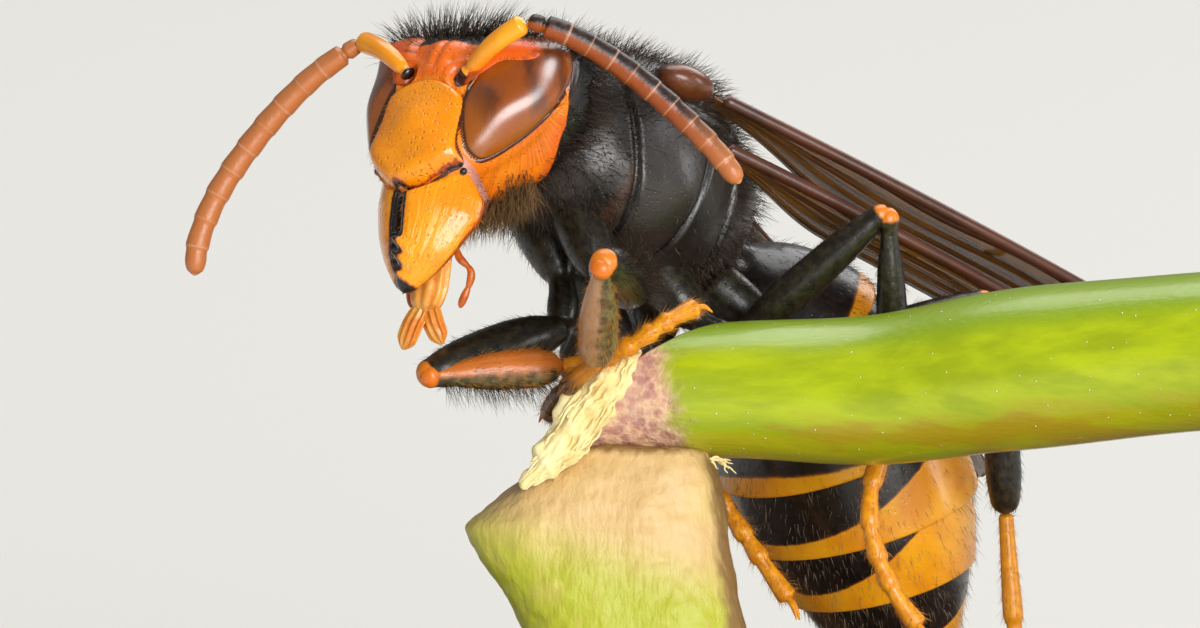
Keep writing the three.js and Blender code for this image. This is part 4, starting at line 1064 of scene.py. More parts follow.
def thoraxShell():
    rows = thorax["rows"]
    front, span = rows[0][0], rows[-1][0] - rows[0][0]
    line = Course([(0, front, 0), (0, rows[-1][0], 0)])
    shares = [((y - front) / span, wide, wide, up, down) for y, wide, up, down in rows]
    mesh = carried(line, shares, thorax["sides"], thorax["rings"], (1, 0, 0), thorax["squareness"],
                   (0.2, 0.25))
    groove, brown = layersOf(mesh, "groove", "brown")

    def shape(point, vert):
        x, y, z = point
        push = 0.0
        for place, lean, low, high, depth in thorax["grooves"]:
            reach = smooth(low - 0.2, low + 0.2, z) * smooth(high + 0.2, high - 0.2, z)
            line = bell(y - lean * z, place, 0.07) * reach
            push -= depth * line
            vert[groove] = max(vert[groove], line)
        shoulder = bell(z, 1.25 - 0.12 * y, 0.08) * smooth(-1.3, -1.0, y) * smooth(1.6, 1.2, y)
        push -= 0.1 * shoulder
        plate = bell(y, -0.2, 0.9) * bell(z, -0.4, 1.1) * smooth(1.2, 1.9, abs(x))
        push += 0.16 * plate
        hump = bell(y, 1.0, 0.45) * smooth(1.6, 2.1, z) * smooth(1.3, 0.8, abs(x))
        push += 0.2 * hump - 0.1 * bell(y, 0.5, 0.07) * smooth(1.5, 1.9, z)
        push += 0.025 * noise.noise(Vector((x, y, z)) * 1.3)
        vert[brown] = 0.6 * bell(y, -1.45, 0.35) * smooth(0.4, -0.6, z) * smooth(1.0, 1.6, abs(x))
        return push

    return pushed(mesh, shape)


thoraxMesh = thoraxShell()


def thoraxHair(places, normals):
    _, y, z = places.T
    ends = 0.7 * smooth(-1.2, -1.8, y) + 0.8 * smooth(1.3, 1.8, y)
    return 0.2 + smooth(0.6, 1.6, z) + ends - 0.4 * bell(y, -0.1, 1.0) * bell(z, -0.4, 1.1)


coat("hair_thorax", thoraxMesh, thoraxPlace, hairDark, "thorax_black",
     {"count": 7000, "length": 0.55, "radius": 0.008, "rise": 0.6, "spread": 0.25, "droop": 0.4},
     thoraxHair, steady((0, 1, -0.2)), 21)
coat("hair_thorax_pale", thoraxMesh, thoraxPlace, hairPale, "thorax_black",
     {"count": 4000, "length": 0.22, "radius": 0.004, "rise": 0.35, "spread": 0.2, "droop": 0.5, "rings": 2},
     lambda p, n: thoraxHair(p, n) + 0.15, steady((0, 0.6, -1)), 22)
piece("thorax_shell", thoraxMesh, thoraxPlace, blackFinish, "thorax_black",
      "prothorax", "mesothorax", "propodeum")

tegula = {"at": (1.98, -0.5, 1.78), "radii": (0.5, 0.72, 0.36)}
tegulaFinish = shell("tegula_cuticle", {"tones": ("3a1c0c", "6a3412"), "roughness": 0.35},
                     {"scale": 8, "size": 0.3, "depth": 0.008})
for side, name in sidesNamed:
    x, y, z = tegula["at"]
    cap = sized(ballOf(48, 30), tegula["radii"], (x * side, y, z))
    piece(f"tegula_{name}_cap", cap, thoraxPlace, tegulaFinish, "thorax_black", f"tegula_{name}")
neck = carried(Course([(0, -3.6, 0.35), (0, -2.9, 0.1)]), [(0, 0.5, 0.45), (1, 0.9, 0.8)], 40, 20, (1, 0, 0))
piece("neck", neck, thoraxPlace, blackFinish, "thorax_black")
print("thorax made")

# Wings, folded lengthwise
wing = {
    "hinge": (2.2, 0.2, 1.72), "spread": 16.4, "droop": 9.2, "roll": 9,
    "fore": {"length": 17.5, "wide": 2.35, "bow": 0.45, "lift": 0, "setBack": 0},
    "hind": {"length": 12, "wide": 1.7, "bow": 0.3, "lift": -0.96, "setBack": 0.5},
    "thick": 0.06,
    # veins as [share of the width, radius], and cross veins as [share of the length, from, to]
    "veins": [(0.0, 0.14), (0.1, 0.1), (0.38, 0.07), (0.68, 0.06), (1.0, 0.05)],
    "crossVeins": [(0.42, 0.12, 0.38), (0.55, 0.38, 0.68), (0.66, 0.12, 0.38), (0.74, 0.38, 0.68),
                   (0.8, 0.0, 0.12)],
    "crossRadius": 0.06, "veinLift": 0.02,
}
membraneFinish = wingFinish("wing_membrane", ("6a431c", "8a5c26"), 0.28, 0.3)
veinFinish = wingFinish("wing_vein", ("3c1c10", "5c2e18"), 0, 0.4)


def wingPlace(sizes):
    spread, droop, roll = (math.radians(wing[key]) for key in ("spread", "droop", "roll"))
    along = Vector((math.sin(spread), math.cos(spread), 0)) * math.cos(droop)
    along.z = -math.sin(droop)
    level = Vector((-math.cos(spread), math.sin(spread), 0))
    level = (level - along * level.dot(along)).normalized()
    up = along.cross(level).normalized()
    inward = level * math.cos(roll) - up * math.sin(roll)
    normal = along.cross(inward).normalized()
    start = Vector(wing["hinge"]) + normal * sizes["lift"] + along * sizes["setBack"]

    def spot(u, v, height=0.0):
        opening = 0.22 + 0.78 * smooth(0, 0.3, u)
        rounding = math.sqrt(max(0.01, 1 - ((u - 0.8) / 0.2) ** 2)) if u > 0.8 else 1
        reach = sizes["wide"] * opening * rounding
        front = -sizes["bow"] * math.sin(math.pi * u) + sizes["wide"] * 0.45 * (1 - rounding)
        wave = 0.05 * math.sin(9 * math.pi * v) * smooth(0, 0.2, u) + height
        return start + along * (u * sizes["length"]) + inward * (front + v * reach) + normal * wave
    return spot


for pair in ("fore", "hind"):
    spot = wingPlace(wing[pair])
    sheet = bmesh.new()
    bmesh.ops.create_grid(sheet, x_segments=140, y_segments=36, size=0.5)
    for vert in sheet.verts:
        vert.co = spot(vert.co.x + 0.5, vert.co.y + 0.5)
    bmesh.ops.solidify(sheet, geom=sheet.faces, thickness=wing["thick"])
    veins = []
    for v, radius in wing["veins"]:
        points = []
        for i in range(25):
            across = min(0.985, max(0.015, v + 0.02 * math.sin(i)))
            points.append(spot(0.01 + 0.975 * i / 24, across, wing["veinLift"]))
        rows = [(0, radius), (0.2, radius), (1, radius * 0.5)]
        veins.append(carried(Course(points), rows, 10, 70, ends=(0.1, 0.2)))
    for u, v1, v2 in wing["crossVeins"]:
        points = [spot(u + 0.015 * math.sin(3 * i), mixed(v1, v2, i / 5), wing["veinLift"]) for i in range(6)]
        rows = [(0, wing["crossRadius"]), (1, wing["crossRadius"])]
        veins.append(carried(Course(points), rows, 8, 16, ends=(0.05, 0.05)))
    netting = together(*veins)
    for side, name in sidesNamed:
        skin, lines = (form.copy() if side > 0 else mirroredOver(form) for form in (sheet, netting))
        piece(f"{pair}wing_{name}_membrane", skin, thoraxPlace, membraneFinish, "wing", f"{pair}wing_{name}")
        piece(f"{pair}wing_{name}_veins", lines, thoraxPlace, veinFinish, "wing")
    sheet.free()
    netting.free()
print("wings made")

# Gaster: rows are [distance, half width, half depth]
gaster = {
    "petiole": (2.68, 4.98, 1.3), "bearing": 41, "startDrop": 40, "addedDrop": 34, "turnLength": 5,
    "length": 11.3,
    "rows": [
        (0, 0.34, 0.34), (0.3, 0.5, 0.5), (0.7, 1.05, 1.0), (1.3, 1.65, 1.5), (2.2, 2.2, 1.95),
        (3.5, 2.62, 2.25), (5, 2.82, 2.4), (6.6, 2.72, 2.28), (8, 2.25, 1.88), (9.4, 1.5, 1.3),
        (10.5, 0.8, 0.72), (11.1, 0.35, 0.32), (11.3, 0.16, 0.16)],
    "ends": [2.3, 5.1, 6.8, 8.3, 9.7, 11.3], "overlap": 0.45, "stepOut": 0.05, "sides": 140, "rings": 60,
    # the yellow band of each ring: width at the sides, width below, width above, as shares of the ring
    "bands": [(0.12, 0.1, 0.12), (0.16, 0.12, 0.14), (0.62, 0.14, 0.2), (0.9, 0.2, 0.85),
              (0.2, 0.05, 0.5), (0, 0, 0)],
}


def gasterLine():
    heading = towards((gaster["bearing"], 0))
    place, points, steps = Vector(gaster["petiole"]), [], 24
    for i in range(steps + 1):
        points.append(place.copy())
        distance = (i + 0.5) / steps * gaster["length"]
        bent = 1 - math.exp(-distance / gaster["turnLength"])
        drop = math.radians(gaster["startDrop"] + gaster["addedDrop"] * bent)
        place = place + heading * (math.cos(drop) * gaster["length"] / steps)
        place.z -= math.sin(drop) * gaster["length"] / steps
    return Course(points)


gasterCourse = gasterLine()
gasterAcross = towards((gaster["bearing"] - 90, 0))
gasterFinished = gasterFinish()
for i, end in enumerate(gaster["ends"]):
    start = max(0, ([0] + gaster["ends"])[i] - (gaster["overlap"] if i else 0))
    last = i == len(gaster["ends"]) - 1
    stations = []
    for k in range(gaster["rings"]):
        t = k / (gaster["rings"] - 1)
        lip = 0 if last else smooth(0.94, 1.0, t)
        distance = mixed(start, end, t if last else min(1, t * 1.04))
        share = distance / gaster["length"]
        wide, deep = eased(gaster["rows"], distance)
        step = 1 + gaster["stepOut"] * t - 0.04 * (1 - t) - 0.16 * lip ** 2
        forward = gasterCourse.heading(share)
        side = (gasterAcross - forward * forward.dot(gasterAcross)).normalized()
        radii = (radius * step for radius in (wide, wide, deep, deep))
        stations.append((gasterCourse.at(share), side, side.cross(forward), *radii))
    ring = lofted(stations, gaster["sides"])
    sideways, below, above = gaster["bands"][i]
    around, along = layersOf(ring, "around", "along")

    def banded(point, vert):
        angle = vert[around] * 2 * math.pi
        turn = math.sin(angle)
        edge = mixed(sideways, above if turn > 0 else below, abs(turn) ** 1.5)
        edge += 0.05 * math.sin(3 * angle)
        return smooth(-0.08, 0.08, vert[along] - (0.97 - edge)) if edge > 0.03 else 0.0

    marked(ring, "band", banded)
    if not last:
        coat(f"hair_gaster_{i + 1}", ring, whole, hairPale if i > 1 else hairDark, "gaster_dark",
             {"count": 1800, "length": 0.34, "radius": 0.006, "rise": 0.3, "spread": 0.15, "droop": 0.2,
              "rings": 2},
             allOver, steady(gasterCourse.heading(0.6)), 31 + i)
    slotName = "gaster_band" if i in (2, 3) else "gaster_dark"
    piece(f"gaster_ring_{i + 1}", ring, whole, gasterFinished, slotName, f"gaster_{i + 1}")
print("gaster made")

# Legs: lengths and radii, roots in the thorax's frame, headings in the specimen's
legSizes = {
    "fore": {
        "root": (0.7, -1.7, -1.2), "coxa": 2, "trochanter": 1.15, "femur": 3.9, "tibia": 3.1,
        "tarsus": 3.7, "radii": (0.56, 0.54, 0.37), "club": 1.1, "pale": 1.0},
    "mid": {
        "root": (0.9, 0.8, -1.85), "coxa": 1.5, "trochanter": 0.9, "femur": 4.4, "tibia": 4.2,
        "tarsus": 5.3, "radii": (0.52, 0.4, 0.33), "club": 1, "pale": 0.5},
    "hind": {
        "root": (0.8, 2.4, -1.6), "coxa": 1.65, "trochanter": 1.0, "femur": 4.3, "tibia": 4.9,
        "tarsus": 6, "radii": (0.55, 0.42, 0.38), "club": 1, "pale": 0.5},
}
# the radius along each part, as shares of the length and of the part's radius
legRows = {
    "coxa": [(0, 0.8), (0.12, 1), (0.35, 0.95), (0.55, 0.72), (0.64, 0.5), (0.7, 0.52), (0.85, 0.6),
             (0.96, 0.5), (1, 0.4)],
    "femur": [(0, 0.5), (0.06, 0.62), (0.2, 0.88), (0.4, 1), (0.65, 0.93), (0.85, 0.72), (0.93, 0.58),
              (1, 0.6)],
    "tibia": [(0, 0.66), (0.07, 0.7), (0.13, 0.55), (0.32, 0.82)],
    "tibiaEnd": [(0.93, 0.85), (1, 0.6)],
}
legPoses = {
    "fore_left": {"coxa": (-51, -54), "trochanter": (-58, -17), "femur": (-100, 10), "tibia": (93, -43),
                  "tarsus": [(121, -21), (115, -22), (98, -14), (92, -7)]},
    "fore_right": {"coxa": (-48, -57), "trochanter": (-87, -61), "femur": (-142, -15), "tibia": (17, 4),
                   "tarsus": [(-9, 9), (-61, 9), (-7, 35), (53, 11)]},
    "mid_left": {"coxa": (-20, -49), "trochanter": (-12, -31), "femur": (-18, 40), "tibia": (82, -73),
                 "tarsus": [(-121, -64), (-124, -61), (3, -71), (-1, -48)]},
    "mid_right": {"coxa": (133, -73), "trochanter": (-176, -72), "femur": (80, 32), "tibia": (-75, -43),
                  "tarsus": [(2, -47), (-4, -51), (-13, -56), (-8, -54)]},
    "hind_left": {"coxa": (-9, -40), "trochanter": (-25, -41), "femur": (-5, 18), "tibia": (81, -68),
                  "tarsus": [(56, -84), (50, -81), (48, -80)]},
    "hind_right": {"coxa": (85, -48), "trochanter": (63, -53), "femur": (111, 22), "tibia": (2, -75),
                   "tarsus": [(-34, -81), (-39, -77), (-41, -74)]},
}
foot = {"parts": [0.38, 0.17, 0.14, 0.11, 0.2], "thin": 0.16, "thick": 0.215, "claw": 0.5, "clawRadius": 0.06,
        "splay": 0.5}
darkLeg = legFinish("leg_cuticle", ("14100a", "2c2814"), "5a4424", "d8780e")
foreLegs = {"left": legFinish("fore_left_tibia_cuticle", ("463c22", "76683f"), "b08560", "dc700e"),
            "right": legFinish("fore_right_tibia_cuticle", ("443a20", "6c5e3a"), "c2691e", "dc700e")}
yellowFoot = legFinish("foot_cuticle", ("d88408", "f0a012"), "f4a818", "a8480e")
# the fore-left foot's far part is painted dark purple-brown as shadow
shadedFoot = legFinish("shaded_foot_cuticle", ("c8760c", "e0900f"), "3c2218", "a8480e")
thoraxStand = standing(thoraxPose)


def bentLine(start, headings, length, steps=16):
    ways, points = [towards(heading) for heading in headings], [start]
    for i in range(steps):
        t = (i + 0.5) / steps * (len(ways) - 1)
        first = min(int(t), len(ways) - 2)
        way = ways[first].lerp(ways[first + 1], t - first).normalized()
        points.append(points[-1] + way * (length / steps))
    return Course(points)


def footForm(line):
    rows, start = [(0, foot["thin"])], 0.0
    for part in foot["parts"]:
        rows += [(start + 0.015, foot["thin"]), (start + part * 0.55, foot["thin"] * 1.18),
                 (start + part - 0.02, foot["thick"]), (start + part - 0.004, foot["thick"] * 0.95)]
        start += part
    rows[-1] = (1.0, foot["thin"])
    form = carried(line, rows, 20, 150, ends=(0.1, 0.1))
    end, forward = line.at(1), line.heading(1)
    level = Vector((0, 0, 1)).cross(forward).normalized()
    clawRows = [(0, foot["clawRadius"] * 1.3), (0.5, foot["clawRadius"]), (1, 0.015)]
    claws = []
    for side in (-1, 1):
        way = (forward + level * side * foot["splay"]).normalized()
        root = end - forward * 0.12
        hook = [root, root + way * foot["claw"] * 0.6, root + way * foot["claw"] + Vector((0, 0, -0.16))]
        claws.append(carried(Course(hook), clawRows, 12, 20, ends=(0.05, 0.02)))
    return form, claws


def markLeg(name, part, form, paleSide):
    along = layersOf(form, "along")[0]
    fore, pale = name.startswith("fore"), legSizes[name.split("_")[0]]["pale"]
    if part == "femur":
        marked(form, "knee", lambda p, v: smooth(0.86, 0.96, v[along]) * 0.9)
    if part == "tibia":
        form.normal_update()
        marked(form, "knee", lambda p, v: (
            max(smooth(0.24, 0.1, v[along]), 0.8 * smooth(0.8, 1.0, v[along])) if fore
            else smooth(0.16, 0.06, v[along])))
        marked(form, "pale_side_and_painted_shadow", lambda p, v: pale * smooth(-0.3, 0.8, v.normal.dot(paleSide)))
    # painted shadow: the fore-left foot is painted dark along its far part
    elif part == "tarsus" and name == "fore_left":
        marked(form, "pale_side_and_painted_shadow", lambda p, v: smooth(0.15, 0.4, v[along]))


legSlot = "leg_dark"
bristle = {"count": 1300, "length": 0.26, "radius": 0.005, "rise": 0.3, "spread": 0.15, "droop": 0.2,
           "rings": 2}
fringe = {"count": 420, "length": 0.55, "radius": 0.005, "rise": 0.75, "spread": 0.15, "droop": 0.2}
# long fine hairs: the part that has them and the side they stand on
fringes = {"fore_left": ("femur", (1, 0, 0.1)), "fore_right": ("tibia", (0, 0, -1))}
# the sides on which the tibiae are lighter, where it isn't the underside
paleSides = {"fore_left": (-1, -0.4, 0), "fore_right": (0, -0.5, 1)}
for name, pose in legPoses.items():
    pair, side = name.split("_")
    size = legSizes[pair]
    x, y, z = size["root"]
    root = thoraxStand @ Vector((x * (1 if side == "left" else -1), y, z))
    coxaEnd = root + towards(pose["coxa"]) * size["coxa"]
    hip = coxaEnd + towards(pose["trochanter"]) * size["trochanter"]
    knee = hip + towards(pose["femur"]) * size["femur"]
    ankle = knee + towards(pose["tibia"]) * size["tibia"]
    tibiaRows = legRows["tibia"] + [(0.6, size["club"]), (0.8, size["club"])] + legRows["tibiaEnd"]
    coxaRows, femurRows, tibiaRows = (
        scaledRows(rows, radius)
        for rows, radius in zip((legRows["coxa"], legRows["femur"], tibiaRows), size["radii"]))
    coxa = carried(Course([root, coxaEnd, hip]), coxaRows, 48, 70, ends=(0.2, 0.15))
    femur = carried(Course([hip, knee]), femurRows, 48, 80, ends=(0.12, 0.3))
    tibia = carried(Course([knee, ankle]), tibiaRows, 48, 80, ends=(0.25, 0.2))
    footMesh, claws = footForm(bentLine(ankle, pose["tarsus"], size["tarsus"]))
    parts = {"coxa": (coxa, coxaEnd - root), "femur": (femur, knee - hip), "tibia": (tibia, ankle - knee),
             "tarsus": (footMesh, ankle - knee)}
    paleSide = Vector(paleSides.get(name, (0, 0, -1))).normalized()
    awayFromKnee = lambda p, n: smooth(0.35, 0.7, np.linalg.norm(p - np.array(knee), axis=1))
    for part, (form, way) in parts.items():
        markLeg(name, part, form, paleSide)
        paint = hairGold if part == "tarsus" or (part == "tibia" and pair == "fore") else hairDark
        coat(f"hair_{name}_{part}", form, whole, paint, legSlot, bristle, awayFromKnee, steady(way),
             41 + len(name))
    if name in fringes:
        part, facing = fringes[name]
        form, way = parts[part]
        fringed = lambda p, n: awayFromKnee(p, n) * smooth(0.5, 0.9, n @ np.array(facing))
        coat(f"hair_{name}_fringe", form, whole, hairDark, legSlot, fringe, fringed, steady(way), 61)
    piece(f"{name}_coxa_form", coxa, whole, darkLeg, legSlot, f"{name}_coxa")
    piece(f"{name}_femur_form", femur, whole, darkLeg, legSlot, f"{name}_femur")
    tibiaFinish = foreLegs[side] if pair == "fore" else darkLeg
    footFinish = shadedFoot if name == "fore_left" else yellowFoot
    piece(f"{name}_tibia_form", tibia, whole, tibiaFinish, legSlot, f"{name}_tibia")
    piece(f"{name}_foot", together(footMesh, *claws), whole, footFinish, "tarsus_yellow", f"{name}_tarsus")
print("legs made")

# Perch: the stem from its torn end, and the broken side under it
stem = {
    "path": [(-2.4, 0.4, -1.85), (0.3, 0.25, -1.65), (3, 0.1, -1.6), (5.8, -0.4, -1.6), (8.3, -1.2, -1.22),
             (10.4, -1.9, -0.98), (12.4, -2.6, -0.78), (14.4, -3.3, -0.65)],
    "rows": [(0, 1.2), (0.16, 1.3), (0.28, 1.42), (0.4, 1.52), (0.55, 1.6), (0.7, 1.7), (0.85, 1.66),
             (1, 1.62)],
    "tornFrom": (0.95, -0.85, -0.78), "tornTo": (-1.55, -1.0, -3.5), "tornTurn": 42,
    "sides": 180, "rings": 170, "capRings": 26,
    # the last rings, as shares of the way to the middle of the cut end
    "cut": (0.01, 0.04, 0.2, 0.5, 0.8, 1),
    "band": [(0.75, -0.86, -0.5), (0.58, -0.9, -0.75), (0.12, -0.95, -1.48), (-0.36, -1.0, -2.1),
             (-0.68, -1.05, -2.6), (-1.08, -1.1, -3.05), (-1.6, -1.15, -3.6)],
    "bandRows": [(0, 0.14, 0.12), (0.12, 0.3, 0.22), (0.3, 0.42, 0.3), (0.5, 0.5, 0.3), (0.68, 0.48, 0.26),
                 (0.82, 0.3, 0.2), (1, 0.12, 0.1)],
    "strands": 44, "wisps": 7, "wispAt": (2.45, -1.15, -3.02),
}


def tornPlane():
    start, end = Vector(stem["tornFrom"]), Vector(stem["tornTo"])
    along = (end - start).normalized()
    away = Matrix.Rotation(math.radians(stem["tornTurn"]), 3, along) @ Vector((0, 1, 0))
    outwards = along.cross(away).normalized()
    if outwards.x > 0:
        outwards.negate()
    return start.lerp(end, 0.5), outwards


def stemForm():
    course = Course(stem["path"])
    middle, outwards = tornPlane()
    mesh = ballOf(stem["sides"], stem["rings"] + stem["capRings"])
    around, along, scar, under, top, pale = layersOf(mesh, "around", "along", "scar", "under", "top", "cut")
    cut, total = stem["cut"], stem["rings"] + stem["capRings"] + 1

    def wall(share, angle):
        radius = eased(stem["rows"], share)[0]
        forward = course.heading(share)
        side = (Vector((0, 0, 1)) - forward * forward.z).normalized()
        up = side.cross(forward)
        swell = 1 + 0.012 * math.sin(3 * angle + 4 * share) + 0.01 * math.sin(14 * share)
        return course.at(share) + (side * math.cos(angle) + up * math.sin(angle)) * radius * swell

    starts = {}

    def startOf(angle):
        key = round(angle, 6)
        if key not in starts:
            low, high = 0.0, 0.6
            for _ in range(18):
                guess = (low + high) / 2
                if (wall(guess, angle) - middle).dot(outwards) > 0:
                    low = guess
                else:
                    high = guess
            starts[key] = high
        return starts[key]

    centre = Vector((0, 0, 0))
    for k in range(24):
        centre += wall(startOf(round(2 * math.pi * k / 24, 6)), 2 * math.pi * k / 24) / 24
    for vert in mesh.verts:
        ring = round(vert[along] * total)
        angle = vert[around] * 2 * math.pi
        begin = startOf(angle)
        if ring <= stem["capRings"]:
            share = ring / stem["capRings"]
            place = centre.lerp(wall(begin, angle), share)
            rough = noise.noise(place * 2.2) * 0.16 + noise.noise(place * 7) * 0.06
            vert.co = place + outwards * (rough - 0.18) * (1 - share ** 6)
            vert[scar] = smooth(-3.0, -2.7, vert.co.z)
        else:
            inward = cut[ring - total - 1] if ring > total - len(cut) else 0
            t = min(1, (ring - stem["capRings"]) / (total - len(cut) - stem["capRings"]))
            share = begin + (1 - begin) * t ** 1.15
            vert.co = wall(min(1, share), angle).lerp(course.at(1), inward)
            vert[pale] = 1.0 if inward > 0.02 else 0.0
            reach = vert.co.x + 0.22 * (vert.co.z + 0.3)
            vert[scar] = smooth(2.1, 0.5, reach) * smooth(-3.05, -2.75, vert.co.z)
        height = vert.co.z - course.at(min(1, max(0, (vert.co.x + 2.4) / 16.9))).z
        vert[under] = smooth(0.2, -1.3, height)
        vert[top] = smooth(0.4, 1.3, height)
    return mesh


piece("stem", stemForm(), whole, stemFinish(), "stem_green", "perch_stem")


def fibres(seed):
    # the pale band of torn fibres along the rim, down to the corner of the broken side
    draw = np.random.RandomState(seed)
    line, rows = Course(stem["band"]), stem["bandRows"]
    front = Vector((0, -1, 0))
    side = front.cross(line.heading(0.5)).normalized()

    def ridge(point, vert):
        fine = Vector((point.dot(side) * 13, point.z * 4, 0))
        return 0.16 * noise.noise(point * 3.4) + 0.05 * noise.noise(fine)

    strands = [pushed(carried(line, rows, 90, 110, side, ends=(0.2, 0.3)), ridge)]
    for _ in range(stem["strands"]):
        at = draw.uniform(0.0, 0.85)
        wide, deep = eased(rows, at)
        offset = draw.uniform(-0.95, 0.95)
        lift = deep * math.sqrt(max(0, 1 - offset ** 2)) + 0.02
        span = draw.uniform(0.12, 0.3)
        points = []
        for k in range(6):
            share = min(1, at + span * k / 5)
            shrink = eased(rows, share)[0] / wide
            stray = draw.normal(0, 0.025)
            points.append(line.at(share) + side * (offset * wide * shrink + stray) + front * lift * shrink)
        thick = draw.uniform(0.02, 0.05)
        strandRows = [(0, thick * 0.6), (0.4, thick), (1, thick * 0.4)]
        strands.append(carried(Course(points), strandRows, 8, 16, ends=(0.04, 0.08)))
    corner = Vector(stem["wispAt"])
    for _ in range(stem["wisps"]):
        stray = (draw.uniform(-0.2, 0.15), draw.uniform(-0.1, 0.1), draw.uniform(-0.08, 0.04))
        points = [corner + Vector(stray)]
        way = Vector((draw.uniform(0.2, 0.8), -0.1, draw.uniform(-0.5, 0.05)))
        for k in range(3):
            points.append(points[-1] + way * draw.uniform(0.15, 0.3) + Vector(draw.normal(0, 0.04, 3)))
        strands.append(carried(Course(points), [(0, 0.03), (1, 0.01)], 8, 12, (0, 1, 0), ends=(0.03, 0.03)))
    return together(*strands)


piece("torn_fibres", fibres(5), whole, fibreFinish(), "stem_green")

stub = {
    # rows are [height, left, right, depth]
    "rows": [
        (-2.6, -0.35, 2.05, 0.9), (-3.1, -0.95, 2.4, 1.15), (-3.5, -1.65, 2.5, 1.3), (-4.1, -2.5, 2.6, 1.45),
        (-4.45, -2.82, 2.65, 1.5), (-4.9, -2.6, 2.72, 1.5), (-5.6, -2.15, 2.85, 1.55),
        (-6.6, -1.6, 3.05, 1.6), (-7.9, -1.1, 3.2, 1.5)],
    "middle": 0.2, "squareness": 3.0, "sides": 160, "rings": 110,
}


def stubForm():
    stations = []
    rows = stub["rows"]
    tall = rows[0][0] - rows[-1][0]
    keyed = [((rows[0][0] - z) / tall, left, right, deep) for z, left, right, deep in rows]
    for k in range(stub["rings"]):
        share = k / (stub["rings"] - 1)
        left, right, deep = eased(keyed, share)
        shrink = min(1, 0.2 + share / 0.05) if share < 0.04 else min(1, 0.9 + (1 - share) / 0.02)
        middle = Vector(((left + right) / 2, stub["middle"], rows[0][0] - share * tall))
        wide, deep = (right - left) / 2 * shrink, deep * shrink
        stations.append((middle, Vector((1, 0, 0)), Vector((0, 1, 0)), wide, wide, deep, deep))
    mesh = lofted(stations, stub["sides"], stub["squareness"])
    along = layersOf(mesh, "along")[0]
    marked(mesh, "low", lambda p, v: smooth(-3.6, -6.4, p.z + 0.25 * p.x))
    marked(mesh, "rim", lambda p, v: (
        max(smooth(0.12, 0.0, v[along]), 0.9 * smooth(1.9, 2.6, p.x - 0.12 * (-4 - p.z)))))
    return pushed(mesh, lambda p, v: 0.07 * noise.noise(p * 1.1) + 0.03 * noise.noise(p * 4))


piece("stub", stubForm(), whole, stubFinish(), "stem_green", "perch_stub")
print("perch made")

# Stand
stand = {
    "wide": 34, "deep": 28, "high": 3, "corner": 4, "edge": 0.5,
    "rod": 0.8, "sleeve": 1.25, "sleeveHigh": 0.8, "rodEdge": 0.12, "sunk": 0.2,
    "rods": {"left": ((-3.1, -7.7), 8.6), "right": ((9.5, -9.6), 13.6)},
}


def rounded(form, offset, segments, level=True):
    # rounds the edges that lie level, or those that don't
    edges = [edge for edge in form.edges
             if (abs(edge.verts[0].co.z - edge.verts[1].co.z) < 1e-5) == level]
    bmesh.ops.bevel(form, geom=edges, offset=offset, segments=segments, profile=0.5, affect="EDGES",
                    material=-1)
    return form


def post(radius, high, middle):
    form = bmesh.new()
    bmesh.ops.create_cone(form, segments=64, radius1=radius, radius2=radius, depth=high, cap_ends=True)
    return rounded(sized(form, (1, 1, 1), middle), stand["rodEdge"], 3)


block = bmesh.new()
bmesh.ops.create_cube(block, size=1)
sized(block, (stand["wide"], stand["deep"], stand["high"]), (0, 0, stand["high"] / 2))
rounded(rounded(block, stand["corner"], 16, level=False), stand["edge"], 4)
piece("base", block, upright, woodFinish(), "base_wood", "stand_base")
steel = steelFinish()
for name, ((x, y), top) in stand["rods"].items():
    low = stand["high"] - stand["sunk"]
    rod = post(stand["rod"], top - low, (x, y, (top + low) / 2))
    sleeve = post(stand["sleeve"], stand["sleeveHigh"], (x, y, stand["high"] + stand["sleeveHigh"] / 2))
    piece(f"rod_{name}", together(rod, sleeve), upright, steel, "rod_steel", f"stand_rod_{name}")
print("stand made")

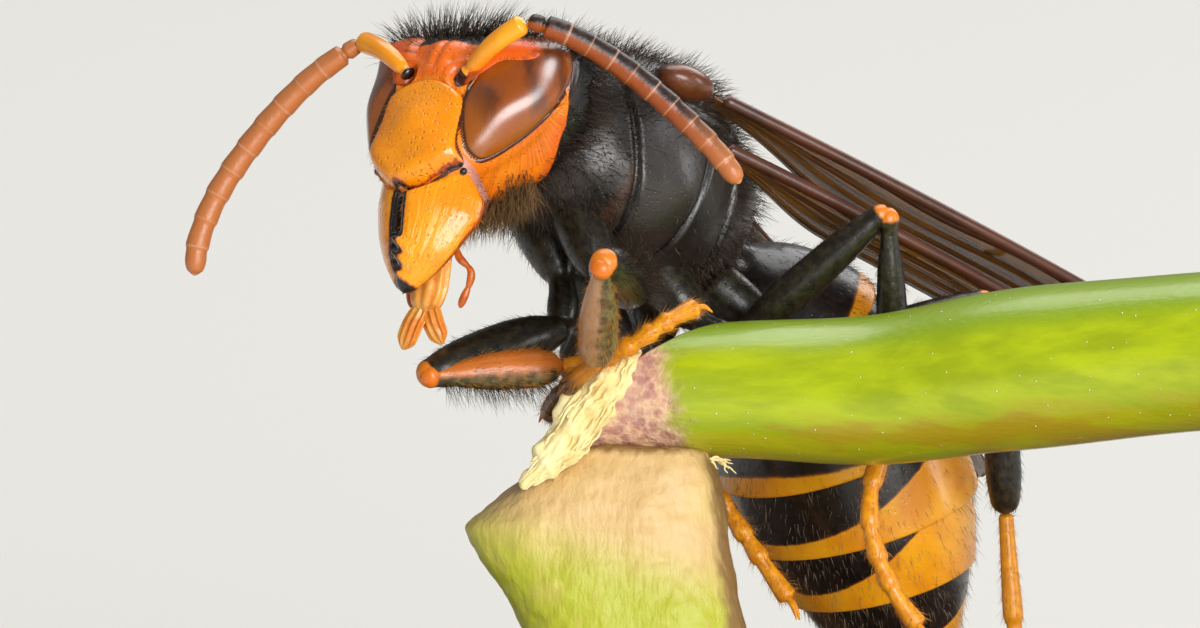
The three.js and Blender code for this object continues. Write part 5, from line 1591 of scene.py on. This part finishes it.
# Stage: a pale floor, soft lights, and the camera where the photograph was taken from
stage = {
    "camera": 500, "frameWide": 25.0, "frameAt": 498.5, "sensor": 36,
    "floor": "dedcd6", "sky": 0.2,
    # lights as bearing from the camera's side, height angle, distance, width, height and power
    "lights": {"key": (23, 13, 420, 300, 260, 1.95), "over": (180, 72, 420, 360, 360, 1.1),
               "rim": (150, 35, 500, 300, 300, 0.7), "side": (82, 12, 420, 120, 200, 0.35)},
}
bpy.context.scene.view_settings.view_transform = "Standard"
floorMesh = bmesh.new()
bmesh.ops.create_grid(floorMesh, x_segments=1, y_segments=1, size=4)
floorData = bpy.data.meshes.new("floor")
floorMesh.to_mesh(floorData)
floorMesh.free()
floorFinish = Finish("floor_paper", {"Base Color": stage["floor"], "Roughness": 0.9})
floorData.materials.append(floorFinish.material)
floor = bpy.data.objects.new("floor", floorData)
bpy.context.scene.collection.objects.link(floor)
world = bpy.data.worlds.new("studio")
world.use_nodes = True
world.node_tree.nodes["Background"].inputs["Color"].default_value = (1, 1, 1, 1)
world.node_tree.nodes["Background"].inputs["Strength"].default_value = stage["sky"]
bpy.context.scene.world = world
centre = Vector(specimen["at"])


def aimed(thing, place):
    thing.location = place * 0.001
    thing.rotation_euler = (centre - place).to_track_quat("-Z", "Y").to_euler()
    bpy.context.scene.collection.objects.link(thing)


for name, (bearing, height, distance, wide, high, power) in stage["lights"].items():
    data = bpy.data.lights.new(name, "AREA")
    data.shape = "ELLIPSE"
    data.size = wide * 0.001
    data.size_y = high * 0.001
    data.energy = power
    b, h = math.radians(bearing), math.radians(height)
    way = Vector((math.sin(b) * math.cos(h), -math.cos(b) * math.cos(h), math.sin(h)))
    aimed(bpy.data.objects.new(name, data), centre + way * distance)
lookDown = math.radians(specimen["lookDown"])
cameraData = bpy.data.cameras.new("camera")
cameraData.sensor_width = stage["sensor"]
cameraData.lens = stage["sensor"] * stage["frameAt"] / stage["frameWide"]
camera = bpy.data.objects.new("camera", cameraData)
aimed(camera, centre - Vector((0, math.cos(lookDown), -math.sin(lookDown))) * stage["camera"])
bpy.context.scene.camera = camera
print("stage made")
